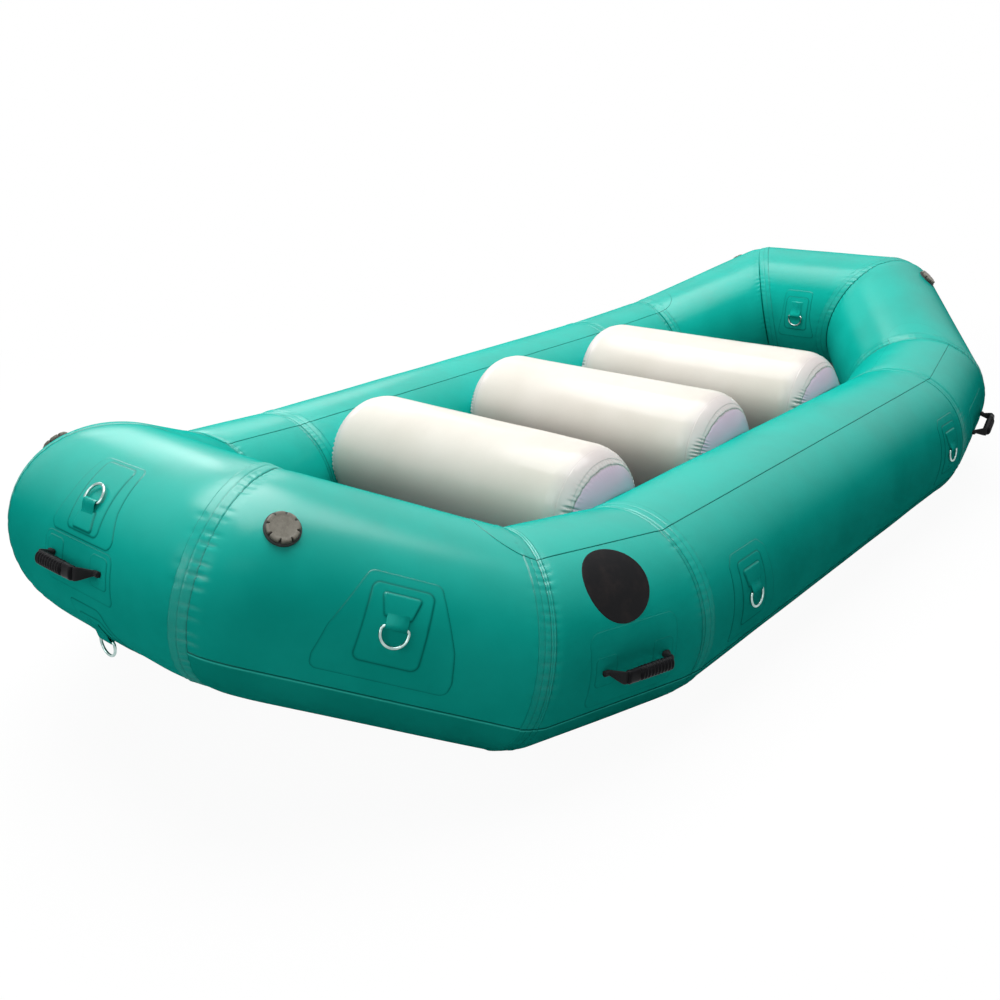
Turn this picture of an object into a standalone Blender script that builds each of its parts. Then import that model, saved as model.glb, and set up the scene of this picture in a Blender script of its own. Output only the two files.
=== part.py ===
"""Whitewater raft: a mitred ring of inflated tubes, three thwarts and a self-bailing floor.

Every length is in metres. +X is port, -Y is the bow, +Z is up, and z = 0 is the ground.
"""
import math

import bmesh
import bpy
from mathutils import Matrix, Vector

# Ring of tubes
TUBE_RADIUS = 0.255
TUBE_FACETS = 32
FABRIC = 0.0012
GAP = 0.0003
SIDE_X = 0.709
SIDE_END_Y = 0.883
KICK_END_X = 0.630
KICK_END_Y = 1.291
KICK_RISE = 0.042
NOSE_END_X = 0.271
NOSE_Y = 1.719
NOSE_RISE = 0.257

# Air chambers
BAFFLE_FLANGE = 0.030
BAFFLE_BULGE = 0.050
BAFFLE_STEPS = 2
BAFFLE_FACETS = 16

# Wear strips
STRIP_THICKNESS = 0.0015
TOP_STRIP_EDGE_DEG = 25.0
TOP_STRIP_CENTRE_DEG = 90.0
TOP_STRIP_STRAIGHT = 0.012
TOP_STRIP_ROUND = 0.098
BOTTOM_STRIP_UPPER_DEG = -27.0
BOTTOM_STRIP_INNER_DEG = -115.0

# Thwarts
THWART_RADIUS = 0.194
THWART_PITCH = 0.674
THWART_Z = 0.376
THWART_DOME = 0.085
THWART_PRESS = 0.030
THWART_FACETS = 28
DOME_STEPS = 3
THWART_HOLE_RADIUS = 0.012
THWART_HOLE_X = 0.300

# Floor
FLOOR_HALF_THICKNESS = 0.060
FLOOR_LIFT = 0.020
FLOOR_END_Y = 1.480
FLOOR_END_ROUND = 0.055
FLOOR_LOBES = 5
LOBE_STEPS = 4
FLOOR_EDGE_STEPS = 2
FLOOR_END_STEPS = 2
FLOOR_END_BLUNT_SHARE = 0.4
LOBE_VALLEY_SHARE = 0.30
FLOOR_PLENUM = 0.120
FLOOR_VALVE_RADIUS = 0.016
FLOOR_VALVE_Y = 1.250
FLAP_Z = 0.042
FLAP_TONGUE = 0.008
DRAIN_RADIUS = 0.012
DRAIN_PITCH = 0.270
DRAINS_PER_SIDE = 7

# Valves
VALVE_INSET = 0.028
VALVE_ANGLE_DEG = 51.0
VALVE_BARREL_RADIUS = 0.027
VALVE_WALL = 0.005
VALVE_FLANGE_WIDTH = 0.012
VALVE_FLANGE_THICKNESS = 0.004
VALVE_FLANGE_EDGE = 0.0015
VALVE_DEPTH = 0.034
VALVE_GUIDE_RADIUS = 0.0065
VALVE_GUIDE_HEIGHT = 0.008
VALVE_STEM_RADIUS = 0.0035
VALVE_SPOKE_WIDTH = 0.005
VALVE_STEPS = 16
STEM_STEPS = 8
CAP_SETBACK = 0.003
CAP_THICKNESS = 0.009
CAP_ROUND = 0.0025
CAP_SKIRT_CLEARANCE = 0.002
CAP_SKIRT_WALL = 0.0025
CAP_SKIRT_DEPTH = 0.009
CAP_RIM_WIDTH = 0.014
CAP_DISH_DEPTH = 0.0015
CAP_NOTCHES = 8
CAP_NOTCH_RADIUS = 0.0032
PLUNGER_CLEARANCE = 0.0035
PLUNGER_THICKNESS = 0.004
PLUNGER_TRAVEL = 0.006
PLUNGER_TAIL_MARGIN = 0.003
RUNNING_GAP = 0.0005

VALVE_FLANGE_RADIUS = VALVE_BARREL_RADIUS + VALVE_FLANGE_WIDTH
VALVE_BORE_RADIUS = VALVE_BARREL_RADIUS - VALVE_WALL
CAP_RADIUS = VALVE_FLANGE_RADIUS - CAP_SETBACK
CAP_DISH_RADIUS = CAP_RADIUS - CAP_RIM_WIDTH
CAP_SKIRT_RADIUS = VALVE_BORE_RADIUS - CAP_SKIRT_CLEARANCE
PLUNGER_RADIUS = VALVE_BORE_RADIUS - PLUNGER_CLEARANCE
PLUNGER_TAIL = PLUNGER_TRAVEL + PLUNGER_TAIL_MARGIN

# D-rings and their patches
RING_WIRE_RADIUS = 0.0035
RING_HALF_WIDTH = 0.030
RING_LEG = 0.012
RING_ARC_STEPS = 8
WEBBING_WIDTH = 0.048
WEBBING_THICKNESS = 0.0020
LOOP_STEPS = 8
TAIL_LENGTH = 0.075
TAIL_SHARES = (1.0, 0.75, 0.5, 0.25, 0.1)
COVER_SHARES = (0.25, 0.5, 0.75, 1.0)
PATCH_THICKNESS = 0.0016
PATCH_SIZE = 0.100
PATCH_CORNER = 0.018
DIAGONAL_PATCH_SHARES = (1.28, 1.08, 1.50, 0.78)
SIDE_PATCH_SHARES = (1.18, 1.20, 0.98, 0.66)
TOP_PATCH_SHARES = (0.86, 1.14, 1.34, 0.84)
TOW_PATCH_SHARES = (0.98, 1.12, 0.88, 0.64)
INNER_PATCH_SHARES = (1.12, 0.98, 0.64, 0.88)
RING_DIAGONAL_SHARE = 0.50
RING_FORE_SHARE = 0.122
RING_AFT_SHARE = 0.925
BOW_TOP_RING_DEG = 43.0
BOW_TOW_RING_DEG = -36.0
DIAGONAL_RING_DEG = 18.7
SIDE_RING_DEG = 6.5
INNER_RING_DEG = 178.0

# Carry handles
HANDLE_HALF_LENGTH = 0.105
HANDLE_STAND_OFF = 0.046
HANDLE_SHOULDER = 0.016
KNUCKLE_RADIUS = 0.007
KNUCKLE_LENGTH = 0.014
STRAP_HALF_WIDTH = 0.017
STRAP_HALF_THICKNESS = 0.0022
STRAP_SHARES = (0.45, 1.0)
STRAP_ROUND_SHARE = 0.5
GRIP_HALF_LENGTH = 0.054
GRIP_RADIUS = 0.0125
GRIP_HALF_WIDTH = 0.0145
GRIP_LIP = 0.002
GRIP_RIB = 0.0025
GRIP_RIBS = 7
HANDLE_SIDES = 8
HANDLE_PATCH_HALF_WIDTH = 0.140
KICK_PATCH_ABOVE = 0.096
KICK_PATCH_STRIP_GAP = 0.019715
NOSE_PATCH_TOP_GAP = 0.005968
NOSE_PATCH_TOW_GAP = 0.029628
HANDLE_PATCH_THICKNESS = 0.0015
HANDLE_PATCH_SINK = 0.0006
HANDLE_PATCH_CORNER = 0.025
HANDLE_KICK_SHARE = 0.475
HANDLE_KICK_DEG = -1.0
HANDLE_NOSE_DEG = 12.0
GRIP_SHIFT = 0.018

HANDLE_STRIP_ARC = math.radians(HANDLE_KICK_DEG - BOTTOM_STRIP_UPPER_DEG) * TUBE_RADIUS
HANDLE_TOP_ARC = math.radians(BOW_TOP_RING_DEG - HANDLE_NOSE_DEG) * TUBE_RADIUS
HANDLE_TOW_ARC = math.radians(HANDLE_NOSE_DEG - BOW_TOW_RING_DEG) * TUBE_RADIUS
KICK_PATCH_BELOW = HANDLE_STRIP_ARC - KICK_PATCH_STRIP_GAP
NOSE_PATCH_ABOVE = HANDLE_TOP_ARC - PATCH_SIZE * TOP_PATCH_SHARES[0] - NOSE_PATCH_TOP_GAP
NOSE_PATCH_BELOW = HANDLE_TOW_ARC - PATCH_SIZE * TOW_PATCH_SHARES[1] - NOSE_PATCH_TOW_GAP

# Cutters and searches
OVERRUN = 0.020
BISECTIONS = 40
ROUNDING_SHARES = (0.3, 1.0)
FACET_SLACK_SHARE = 0.05

FACET = 2 * math.pi / TUBE_FACETS
SIDE_Z = (TUBE_RADIUS + GAP + STRIP_THICKNESS) * math.cos(FACET / 2)
UP = Vector((0, 0, 1))

PARTS = None
CUTTERS = None


def clear_scene():
    for old in list(bpy.data.objects):
        bpy.data.objects.remove(old, do_unlink=True)


def make_collection(name):
    made = bpy.data.collections.new(name)
    bpy.context.scene.collection.children.link(made)
    return made


def make_material(name, colour, roughness, metallic=0.0):
    made = bpy.data.materials.new(name)
    made.use_nodes = True
    shader = made.node_tree.nodes["Principled BSDF"]
    shader.inputs["Base Color"].default_value = (*colour, 1.0)
    shader.inputs["Roughness"].default_value = roughness
    shader.inputs["Metallic"].default_value = metallic
    return made


def tube_fabric():
    return make_material("tube_fabric", (0.02, 0.50, 0.40), 0.38)


def strip_fabric():
    return make_material("strip_fabric", (0.02, 0.45, 0.36), 0.45)


def thwart_fabric():
    return make_material("thwart_fabric", (0.80, 0.79, 0.74), 0.35)


def floor_fabric():
    return make_material("floor_fabric", (0.45, 0.46, 0.46), 0.5)


def inner_fabric():
    return make_material("inner_fabric", (0.30, 0.32, 0.32), 0.7)


def valve_plastic():
    return make_material("valve_plastic", (0.28, 0.25, 0.22), 0.45)


def ring_steel():
    return make_material("ring_steel", (0.75, 0.75, 0.74), 0.2, 1.0)


def strap_rubber():
    return make_material("strap_rubber", (0.02, 0.02, 0.022), 0.55)


def add_object(name, mesh, material=None, collection=None):
    made = bpy.data.objects.new(name, mesh)
    (collection or PARTS).objects.link(made)
    if material and not mesh.materials:
        mesh.materials.append(material)
    return made


def add_cutter(name, mesh):
    made = add_object(name, mesh, None, CUTTERS)
    made.hide_render = True
    made.display_type = "WIRE"
    return made


def mesh_from_bmesh(bm, name, smooth_deg=40.0):
    bmesh.ops.recalc_face_normals(bm, faces=bm.faces)
    mesh = bpy.data.meshes.new(name)
    bm.to_mesh(mesh)
    bm.free()
    mesh.shade_smooth()
    mesh.set_sharp_from_angle(angle=math.radians(smooth_deg))
    return mesh


def loft(name, sections, closed_run=False, banded_ends=False):
    """Skin through sections of equal point counts.

    An open run gets a face at each end, or with banded ends a band of faces that joins the
    first half of the section to the second half.
    """
    bm = bmesh.new()
    rows = [[bm.verts.new(point) for point in section] for section in sections]
    count = len(rows[0])
    for i in range(len(rows) if closed_run else len(rows) - 1):
        here, there = rows[i], rows[(i + 1) % len(rows)]
        for k in range(count):
            j = (k + 1) % count
            bm.faces.new((here[k], here[j], there[j], there[k]))
    for row in () if closed_run else (rows[0], rows[-1]):
        if banded_ends:
            for k in range(count // 2 - 1):
                bm.faces.new((row[k], row[k + 1], row[-k - 2], row[-k - 1]))
        else:
            bm.faces.new(row)
    return mesh_from_bmesh(bm, name)


def boolean(obj, cutter, operation="DIFFERENCE"):
    cut = obj.modifiers.new(operation.lower(), "BOOLEAN")
    cut.operation = operation
    cut.solver = "EXACT"
    cut.object = cutter
    return cut


def baked(obj, name):
    """The evaluated shape of an object as a plain mesh in world space."""
    graph = bpy.context.evaluated_depsgraph_get()
    mesh = bpy.data.meshes.new_from_object(obj.evaluated_get(graph))
    mesh.transform(obj.matrix_world)
    mesh.name = name
    return mesh


def weld(mesh):
    bm = bmesh.new()
    bm.from_mesh(mesh)
    bmesh.ops.remove_doubles(bm, verts=bm.verts, dist=GAP / 30)
    bmesh.ops.recalc_face_normals(bm, faces=bm.faces)
    bm.to_mesh(mesh)
    bm.free()
    mesh.shade_smooth()
    mesh.set_sharp_from_angle(angle=math.radians(40.0))
    return mesh


def turned(name, profile, steps):
    """Closed profile of (radius, height) points turned about the local Z axis."""
    mesh = bpy.data.meshes.new(name + "_profile")
    count = len(profile)
    closed = profile[0][0] > 0 or profile[-1][0] > 0
    edges = [(i, (i + 1) % count) for i in range(count if closed else count - 1)]
    mesh.from_pydata([(r, 0, z) for r, z in profile], edges, [])
    guide = bpy.data.objects.new(name + "_profile", mesh)
    CUTTERS.objects.link(guide)
    screw = guide.modifiers.new("turn", "SCREW")
    screw.steps = steps
    screw.render_steps = steps
    screw.use_merge_vertices = True
    screw.merge_threshold = GAP / 30
    made = weld(baked(guide, name))
    bpy.data.objects.remove(guide, do_unlink=True)
    return made


class Tube:
    """One straight panel of the ring, between two joints of the axis line."""

    def __init__(self, name, start, end, before, after):
        self.name = name
        self.start = start
        self.end = end
        self.length = (end - start).length
        self.along = (end - start).normalized()
        self.out = self.along.cross(UP).normalized()
        self.rise = self.out.cross(self.along)
        self.start_plane = (start, (self.along + (start - before).normalized()).normalized())
        self.end_plane = (end, (self.along + (after - end).normalized()).normalized())
        self.facet_out = self.out
        self.facet_rise = self.rise

    def carry_facets(self, neighbour):
        """Turn the facets so that their corners meet the neighbour's at the shared mitre."""
        turn = neighbour.along.rotation_difference(self.along)
        self.facet_out = turn @ neighbour.facet_out
        self.facet_rise = turn @ neighbour.facet_rise

    def normal(self, angle):
        return self.out * math.cos(angle) + self.rise * math.sin(angle)

    def uphill(self, angle):
        return self.rise * math.cos(angle) - self.out * math.sin(angle)

    def facet_angle(self, angle):
        n = self.normal(angle)
        turn = math.atan2(n.dot(self.facet_rise), n.dot(self.facet_out))
        return turn + math.tau * round((angle - turn) / math.tau)

    def facet_normal(self, angle):
        return self.facet_out * math.cos(angle) + self.facet_rise * math.sin(angle)

    def facet_point(self, angle, offset, along):
        """Point on the faceted surface, raised by an offset, at an angle of the facet frame."""
        k = math.floor(angle / FACET - 0.5)
        low = (k + 0.5) * FACET
        share = (angle - low) / FACET
        radius = TUBE_RADIUS + offset
        corner = self.facet_normal(low) * radius
        following = self.facet_normal(low + FACET) * radius
        return self.start + corner.lerp(following, share) + self.along * along

    def surface(self, angle, offset, along):
        return self.facet_point(self.facet_angle(angle), offset, along)

    def on_plane(self, point, plane, setback=0.0):
        """Slide a point along the tube until it lies a setback short of a plane."""
        co, no = plane
        side = no.dot(self.along)
        return point + self.along * ((no.dot(co - point) - setback) / side)

    def corner_angles(self, low=None, high=None):
        """Facet corners all round, or the angles from low to high with each corner between."""
        if low is None:
            return [(k + 0.5) * FACET for k in range(TUBE_FACETS)]
        first = math.ceil(low / FACET - 0.5 + FACET_SLACK_SHARE)
        last = math.floor(high / FACET - 0.5 - FACET_SLACK_SHARE)
        return [low] + [(k + 0.5) * FACET for k in range(first, last + 1)] + [high]

    def section(self, offset, plane, setback, angles=None):
        angles = angles or self.corner_angles()
        return [self.on_plane(self.facet_point(a, offset, 0), plane, setback) for a in angles]


def ring_joints():
    """The twelve joints of the axis line, from the bow's starboard end round by port."""
    side = (SIDE_X, SIDE_END_Y, SIDE_Z)
    kick = (KICK_END_X, KICK_END_Y, SIDE_Z + KICK_RISE)
    nose = (NOSE_END_X, NOSE_Y, SIDE_Z + NOSE_RISE)
    quarter = [nose, kick, side]
    port_bow = [Vector((x, -y, z)) for x, y, z in quarter]
    port_stern = [Vector((x, y, z)) for x, y, z in reversed(quarter)]
    port = port_bow + port_stern
    starboard = [Vector((-p.x, p.y, p.z)) for p in reversed(port)]
    return starboard[-1:] + port + starboard[:-1]


def ring_tubes():
    names = [
        "bow_nose_tube", "bow_port_diagonal_tube", "bow_port_kick_tube", "port_side_tube",
        "stern_port_kick_tube", "stern_port_diagonal_tube", "stern_nose_tube",
        "stern_starboard_diagonal_tube", "stern_starboard_kick_tube", "starboard_side_tube",
        "bow_starboard_kick_tube", "bow_starboard_diagonal_tube",
    ]
    joints = ring_joints()
    count = len(joints)
    tubes = {}
    for i, name in enumerate(names):
        here = [joints[(i + step) % count] for step in (0, 1, -1, 2)]
        tubes[name] = Tube(name, *here)
    for side in ("port", "starboard"):
        for end in ("bow", "stern"):
            kick = tubes[f"{end}_{side}_kick_tube"]
            diagonal = tubes[f"{end}_{side}_diagonal_tube"]
            kick.carry_facets(tubes[f"{side}_side_tube"])
            diagonal.carry_facets(kick)
    return tubes


def tube_shell(tube):
    """Fabric wall, open at both mitres."""
    setback = GAP / 2
    sections = []
    for offset in (0, -FABRIC):
        ends = [(tube.start_plane, -setback), (tube.end_plane, setback)]
        if offset:
            ends.reverse()
        for plane, back in ends:
            sections.append(tube.section(offset, plane, back))
    return loft(tube.name, sections, closed_run=True)


def tube_solid(tube, offset, name):
    """The tube's whole outer form, as a cutter a little longer than the tube."""
    sections = [
        tube.section(offset, tube.start_plane, -GAP / 2),
        tube.section(offset, tube.end_plane, GAP / 2),
    ]
    return loft(name, sections)


def conforming_plate(tube, name, rows, low_offset, high_offset):
    """A plate that lies on the facets: rows of (angle, first along, last along)."""
    sections = []
    for angle, first, last in rows:
        sections.append([
            tube.facet_point(angle, low_offset, first),
            tube.facet_point(angle, low_offset, last),
            tube.facet_point(angle, high_offset, last),
            tube.facet_point(angle, high_offset, first),
        ])
    return loft(name, sections)


def trapezoid_rows(tube, centre, low, high, low_half, high_half, corner):
    """Rows of a rounded trapezoid between two surface angles, on the tube's facet corners."""
    low, high = tube.facet_angle(low), tube.facet_angle(high)
    bite = corner / TUBE_RADIUS
    angles = tube.corner_angles(low, high)
    for share in ROUNDING_SHARES:
        for extra in (low + bite * share, high - bite * share):
            if all(abs(extra - a) > FACET * FACET_SLACK_SHARE for a in angles):
                angles.append(extra)
    rows = []
    for angle in sorted(angles):
        share = (angle - low) / (high - low)
        half = low_half + (high_half - low_half) * share
        edge = min(angle - low, high - angle)
        if edge < bite:
            reach = min(1.0, 1 - edge / bite)
            half -= corner * (1 - math.sqrt(1 - reach * reach))
        rows.append((angle, centre - half, centre + half))
    return rows


def build_tubes(tubes, fabric):
    for tube in tubes.values():
        add_object(tube.name, tube_shell(tube), fabric)


def build_baffles(tubes, fabric):
    """Domed diaphragms that part the ring into four air chambers."""
    radius = (TUBE_RADIUS - FABRIC) * math.cos(FACET / 2) - GAP
    rim = BAFFLE_FLANGE / 2
    profile = []
    for i in range(BAFFLE_STEPS + 1):
        angle = math.pi / 2 * i / BAFFLE_STEPS
        profile.append(((radius - FABRIC) * math.sin(angle), rim + BAFFLE_BULGE * math.cos(angle)))
    profile += [(radius - FABRIC, -rim), (radius, -rim)]
    for i in range(BAFFLE_STEPS + 1):
        angle = math.pi / 2 * (1 - i / BAFFLE_STEPS)
        reach = BAFFLE_BULGE + FABRIC
        profile.append((radius * math.sin(angle), rim + reach * math.cos(angle)))
    mesh = turned("baffle", profile, BAFFLE_FACETS)
    places = (
        ("bow_baffle", "bow_nose_tube"), ("stern_baffle", "stern_nose_tube"),
        ("port_baffle", "port_side_tube"), ("starboard_baffle", "starboard_side_tube"),
    )
    for name, tube_name in places:
        tube = tubes[tube_name]
        baffle = add_object(name, mesh, fabric)
        baffle.location = tube.start.lerp(tube.end, 0.5)
        baffle.rotation_euler = tube.along.to_track_quat("Z", "Y").to_euler()


def top_strip_mesh(name, run):
    """A wear strip along the tops of a run of tubes, with a rounded tongue on each end tube."""
    middle, half = math.radians(TOP_STRIP_CENTRE_DEG), math.radians(TOP_STRIP_EDGE_DEG)
    corners = run[0].corner_angles(middle - half, middle + half)
    angles = []
    for here, there in zip(corners, corners[1:]):
        angles += [here, (here + there) / 2]
    angles.append(corners[-1])
    sections = []

    def add_row(tube, plane, tongue):
        levels = []
        for level in (GAP, GAP + STRIP_THICKNESS):
            points = []
            for angle in angles:
                share = math.sqrt(max(0, 1 - ((angle - middle) / half) ** 2))
                reach = tongue * (TOP_STRIP_STRAIGHT + TOP_STRIP_ROUND * share)
                point = tube.on_plane(tube.facet_point(angle, level, 0), plane)
                points.append(point + tube.along * reach)
            levels.append(points)
        sections.append(levels[0] + levels[1][::-1])

    add_row(run[0], run[0].end_plane, -1)
    for tube in run[1:]:
        add_row(tube, tube.start_plane, 0)
    add_row(run[-1], run[-1].start_plane, 1)
    return loft(name, sections, banded_ends=True)


def run_of(tubes, side, parts):
    """Tubes of one side in ring order, from bow to stern on port and back on starboard."""
    ends = ("bow", "stern") if side == "port" else ("stern", "bow")
    names = []
    for part in parts:
        names.append(f"{ends[0]}_{side}_{part}_tube")
    names.append(f"{side}_side_tube")
    for part in reversed(parts):
        names.append(f"{ends[1]}_{side}_{part}_tube")
    return [tubes[name] for name in names]


def build_strips(tubes, fabric):
    for side in ("port", "starboard"):
        run = run_of(tubes, side, ("diagonal", "kick"))
        for name, make in (("top", top_strip_mesh), ("bottom", bottom_strip_mesh)):
            name = f"{side}_{name}_wear_strip"
            add_object(name, make(name, run), fabric)


def bottom_strip_mesh(name, run):
    low, high = math.radians(BOTTOM_STRIP_INNER_DEG), math.radians(BOTTOM_STRIP_UPPER_DEG)
    angles = run[0].corner_angles(low, high)
    levels = (GAP, GAP + STRIP_THICKNESS)
    planes = [(tube, tube.start_plane) for tube in run] + [(run[-1], run[-1].end_plane)]
    sections = []
    for step, (tube, plane) in enumerate(planes):
        back = {0: -GAP / 2, len(planes) - 1: GAP / 2}.get(step, 0)
        inner, outer = [tube.section(level, plane, back, angles) for level in levels]
        sections.append(inner + outer[::-1])
    return loft(name, sections, banded_ends=True)


def thwart_form(radius, reach, dome, name):
    """Closed barrel with domed ends, turned about X."""
    profile = []
    for sign in (1, -1):
        for i in range(DOME_STEPS + 1):
            angle = math.pi / 2 * i / DOME_STEPS
            if sign < 0:
                angle = math.pi / 2 - angle
            profile.append((radius * math.sin(angle), sign * (reach - dome + dome * math.cos(angle))))
    mesh = turned(name, profile, THWART_FACETS)
    mesh.transform(Matrix.Rotation(math.pi / 2, 4, "Y"))
    return mesh


def build_thwarts(tubes, fabric):
    seat = SIDE_X - math.sqrt(TUBE_RADIUS ** 2 - (THWART_Z - SIDE_Z) ** 2)
    reach = seat + THWART_PRESS
    outer = thwart_form(THWART_RADIUS, reach, THWART_DOME, "thwart_outer")
    inner = thwart_form(THWART_RADIUS - FABRIC, reach - FABRIC, THWART_DOME, "thwart_inner")
    for name, row in (("bow_thwart", -1), ("middle_thwart", 0), ("stern_thwart", 1)):
        place = Vector((0, row * THWART_PITCH, THWART_Z))
        shell = fitted_thwart(tubes, outer, place, row, GAP, name + "_outer")
        hollow = fitted_thwart(tubes, inner, place, row, GAP + FABRIC, name + "_inner")
        body = add_object(name, shell, fabric)
        boolean(body, add_cutter(name + "_hollow", hollow))
        boolean(body, valve_hole_cutter(name, place))
        mesh = weld(baked(body, name))
        body.modifiers.clear()
        body.data = mesh


def valve_hole_cutter(name, place):
    """Inflation hole through the thwart's skin, low on its stern side by the port end."""
    bm = bmesh.new()
    bmesh.ops.create_cone(
        bm, cap_ends=True, segments=12, radius1=THWART_HOLE_RADIUS, radius2=THWART_HOLE_RADIUS,
        depth=OVERRUN * 2,
    )
    mesh = mesh_from_bmesh(bm, name + "_hole")
    mesh.transform(Matrix.Rotation(math.pi / 2, 4, "X"))
    mesh.transform(Matrix.Translation(place + Vector((THWART_HOLE_X, THWART_RADIUS, 0))))
    return add_cutter(name + "_hole", mesh)


def fitted_thwart(tubes, form, place, row, offset, name):
    """The thwart's form cut to lie against the tubes beside it."""
    blank = add_cutter(name, form.copy())
    blank.location = place
    bpy.context.view_layer.update()
    beside = ["port_side_tube", "starboard_side_tube"]
    if row:
        end = "bow" if row < 0 else "stern"
        beside += [f"{end}_port_kick_tube", f"{end}_starboard_kick_tube"]
    for tube_name in beside:
        tube = tubes[tube_name]
        wide = add_cutter(f"{name}_{tube_name}", tube_solid(tube, offset, tube_name + "_form"))
        boolean(blank, wide)
    bpy.context.view_layer.update()
    mesh = weld(baked(blank, name))
    bpy.data.objects.remove(blank, do_unlink=True)
    return mesh


def axis_height(y):
    """Height of the ring's axis line at a distance from amidships."""
    marks = (
        (0, SIDE_Z), (SIDE_END_Y, SIDE_Z), (KICK_END_Y, SIDE_Z + KICK_RISE),
        (NOSE_Y, SIDE_Z + NOSE_RISE),
    )
    reach = min(abs(y), NOSE_Y)
    for (y0, z0), (y1, z1) in zip(marks, marks[1:]):
        if reach <= y1:
            return z0 + (z1 - z0) * (reach - y0) / (y1 - y0)
    return marks[-1][1]


def floor_centre_z(y):
    return axis_height(y) - SIDE_Z + FLOOR_LIFT + FLOOR_HALF_THICKNESS


def distance_to_axis(point, tubes):
    least = None
    for tube in tubes.values():
        along = max(0, min(tube.length, (point - tube.start).dot(tube.along)))
        gap = (point - tube.start - tube.along * along).length
        least = gap if least is None else min(least, gap)
    return least


def floor_flat_width(y, tubes):
    """Half width of the floor without its round edge, which just clears every tube."""
    need = TUBE_RADIUS + FLOOR_HALF_THICKNESS + GAP
    low, high = 0.0, SIDE_X
    for _ in range(BISECTIONS):
        middle = (low + high) / 2
        point = Vector((middle, y, floor_centre_z(y)))
        if distance_to_axis(point, tubes) >= need:
            low = middle
        else:
            high = middle
    return low


def flap_inner_x(y, tubes):
    """Where the floor's round edge stands at the height of the flap."""
    drop = FLOOR_LIFT + FLOOR_HALF_THICKNESS - FLAP_Z
    return floor_flat_width(y, tubes) + math.sqrt(FLOOR_HALF_THICKNESS ** 2 - drop ** 2)


def floor_stations(inset):
    """Distances from amidships of the floor's sections, with the swell of each."""
    end = FLOOR_END_Y - inset
    stations = [(SIDE_END_Y, 1.0), (KICK_END_Y, 1.0), (end - FLOOR_END_ROUND, 1.0)]
    for i in range(1, FLOOR_END_STEPS + 1):
        angle = math.pi / 2 * i / (FLOOR_END_STEPS + FLOOR_END_BLUNT_SHARE)
        stations.append((end - FLOOR_END_ROUND * (1 - math.sin(angle)), math.cos(angle)))
    mirrored = [(-y, swell) for y, swell in reversed(stations)]
    return mirrored + stations


def lobe_level(u):
    """Height share of the quilted skin at a share of the flat half width from -1 to 1."""
    outermost = abs(u) > 1 - 1 / FLOOR_LOBES
    phase = ((u + 1) / 2 * FLOOR_LOBES) % 1.0
    return 1.0 if outermost else 1 - LOBE_VALLEY_SHARE * (1 - math.sin(math.pi * phase)) ** 2


def floor_section(y, swell, inset, tubes):
    half_thickness = FLOOR_HALF_THICKNESS - inset
    flat = floor_flat_width(y, tubes)
    centre = floor_centre_z(y)
    count = FLOOR_LOBES * LOBE_STEPS
    rim = [math.pi / 2 * i / FLOOR_EDGE_STEPS for i in range(FLOOR_EDGE_STEPS)]
    places = [(-flat - half_thickness * math.cos(a), math.sin(a)) for a in rim]
    for i in range(count + 1):
        u = 2 * i / count - 1
        places.append((u * flat, lobe_level(u)))
    places += [(flat + half_thickness * math.cos(a), math.sin(a)) for a in reversed(rim)]
    level = half_thickness * swell
    top = [Vector((x, y, centre + level * share)) for x, share in places]
    bottom = [Vector((x, y, centre - level * share)) for x, share in places]
    return top + bottom[-2:0:-1]


def floor_form(inset, name, tubes):
    sections = [floor_section(y, swell, inset, tubes) for y, swell in floor_stations(inset)]
    return loft(name, sections)


def floor_web(valley, tubes):
    """One beam of the floor: a fabric web between the two skins along a valley of the quilting."""
    u = 2 * valley / FLOOR_LOBES - 1
    level = FLOOR_HALF_THICKNESS * lobe_level(u) - FABRIC / 2
    limit = FLOOR_END_Y - FLOOR_PLENUM
    marks = [-limit, -KICK_END_Y, -SIDE_END_Y, SIDE_END_Y, KICK_END_Y, limit]
    sections = []
    for y in marks:
        x, z = u * floor_flat_width(y, tubes), floor_centre_z(y)
        half = FABRIC / 2
        sections.append([
            Vector((x - half, y, z - level)), Vector((x + half, y, z - level)),
            Vector((x + half, y, z + level)), Vector((x - half, y, z + level)),
        ])
    return loft(f"floor_web_{valley}", sections)


def tube_reach_x(y, z, tubes):
    """Inner face of the port tubes at a height low on them."""
    low, high = 0.0, SIDE_X
    for _ in range(BISECTIONS):
        middle = (low + high) / 2
        if distance_to_axis(Vector((middle, y, z)), tubes) >= TUBE_RADIUS + GAP:
            low = middle
        else:
            high = middle
    return low


def floor_flap(side, tubes):
    """Fabric flap that joins the floor's edge to the tubes, and carries the drain holes."""
    marks = [-KICK_END_Y, -SIDE_END_Y, SIDE_END_Y, KICK_END_Y]
    drop = FLOOR_LIFT + FLOOR_HALF_THICKNESS - FLAP_Z
    sections = []
    for y in marks:
        z = floor_centre_z(y) - drop
        inner = flap_inner_x(y, tubes) - FLAP_TONGUE
        outer = tube_reach_x(y, z, tubes)
        sections.append([
            Vector((side * inner, y, z - FABRIC / 2)), Vector((side * outer, y, z - FABRIC / 2)),
            Vector((side * outer, y, z + FABRIC / 2)), Vector((side * inner, y, z + FABRIC / 2)),
        ])
    return loft("floor_flap", sections)


def upright_cutter(name, radius, height, place, segments=12):
    bm = bmesh.new()
    bmesh.ops.create_cone(
        bm, cap_ends=True, segments=segments, radius1=radius, radius2=radius, depth=height,
    )
    mesh = mesh_from_bmesh(bm, name)
    mesh.transform(Matrix.Translation(place))
    return add_cutter(name, mesh)


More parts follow.
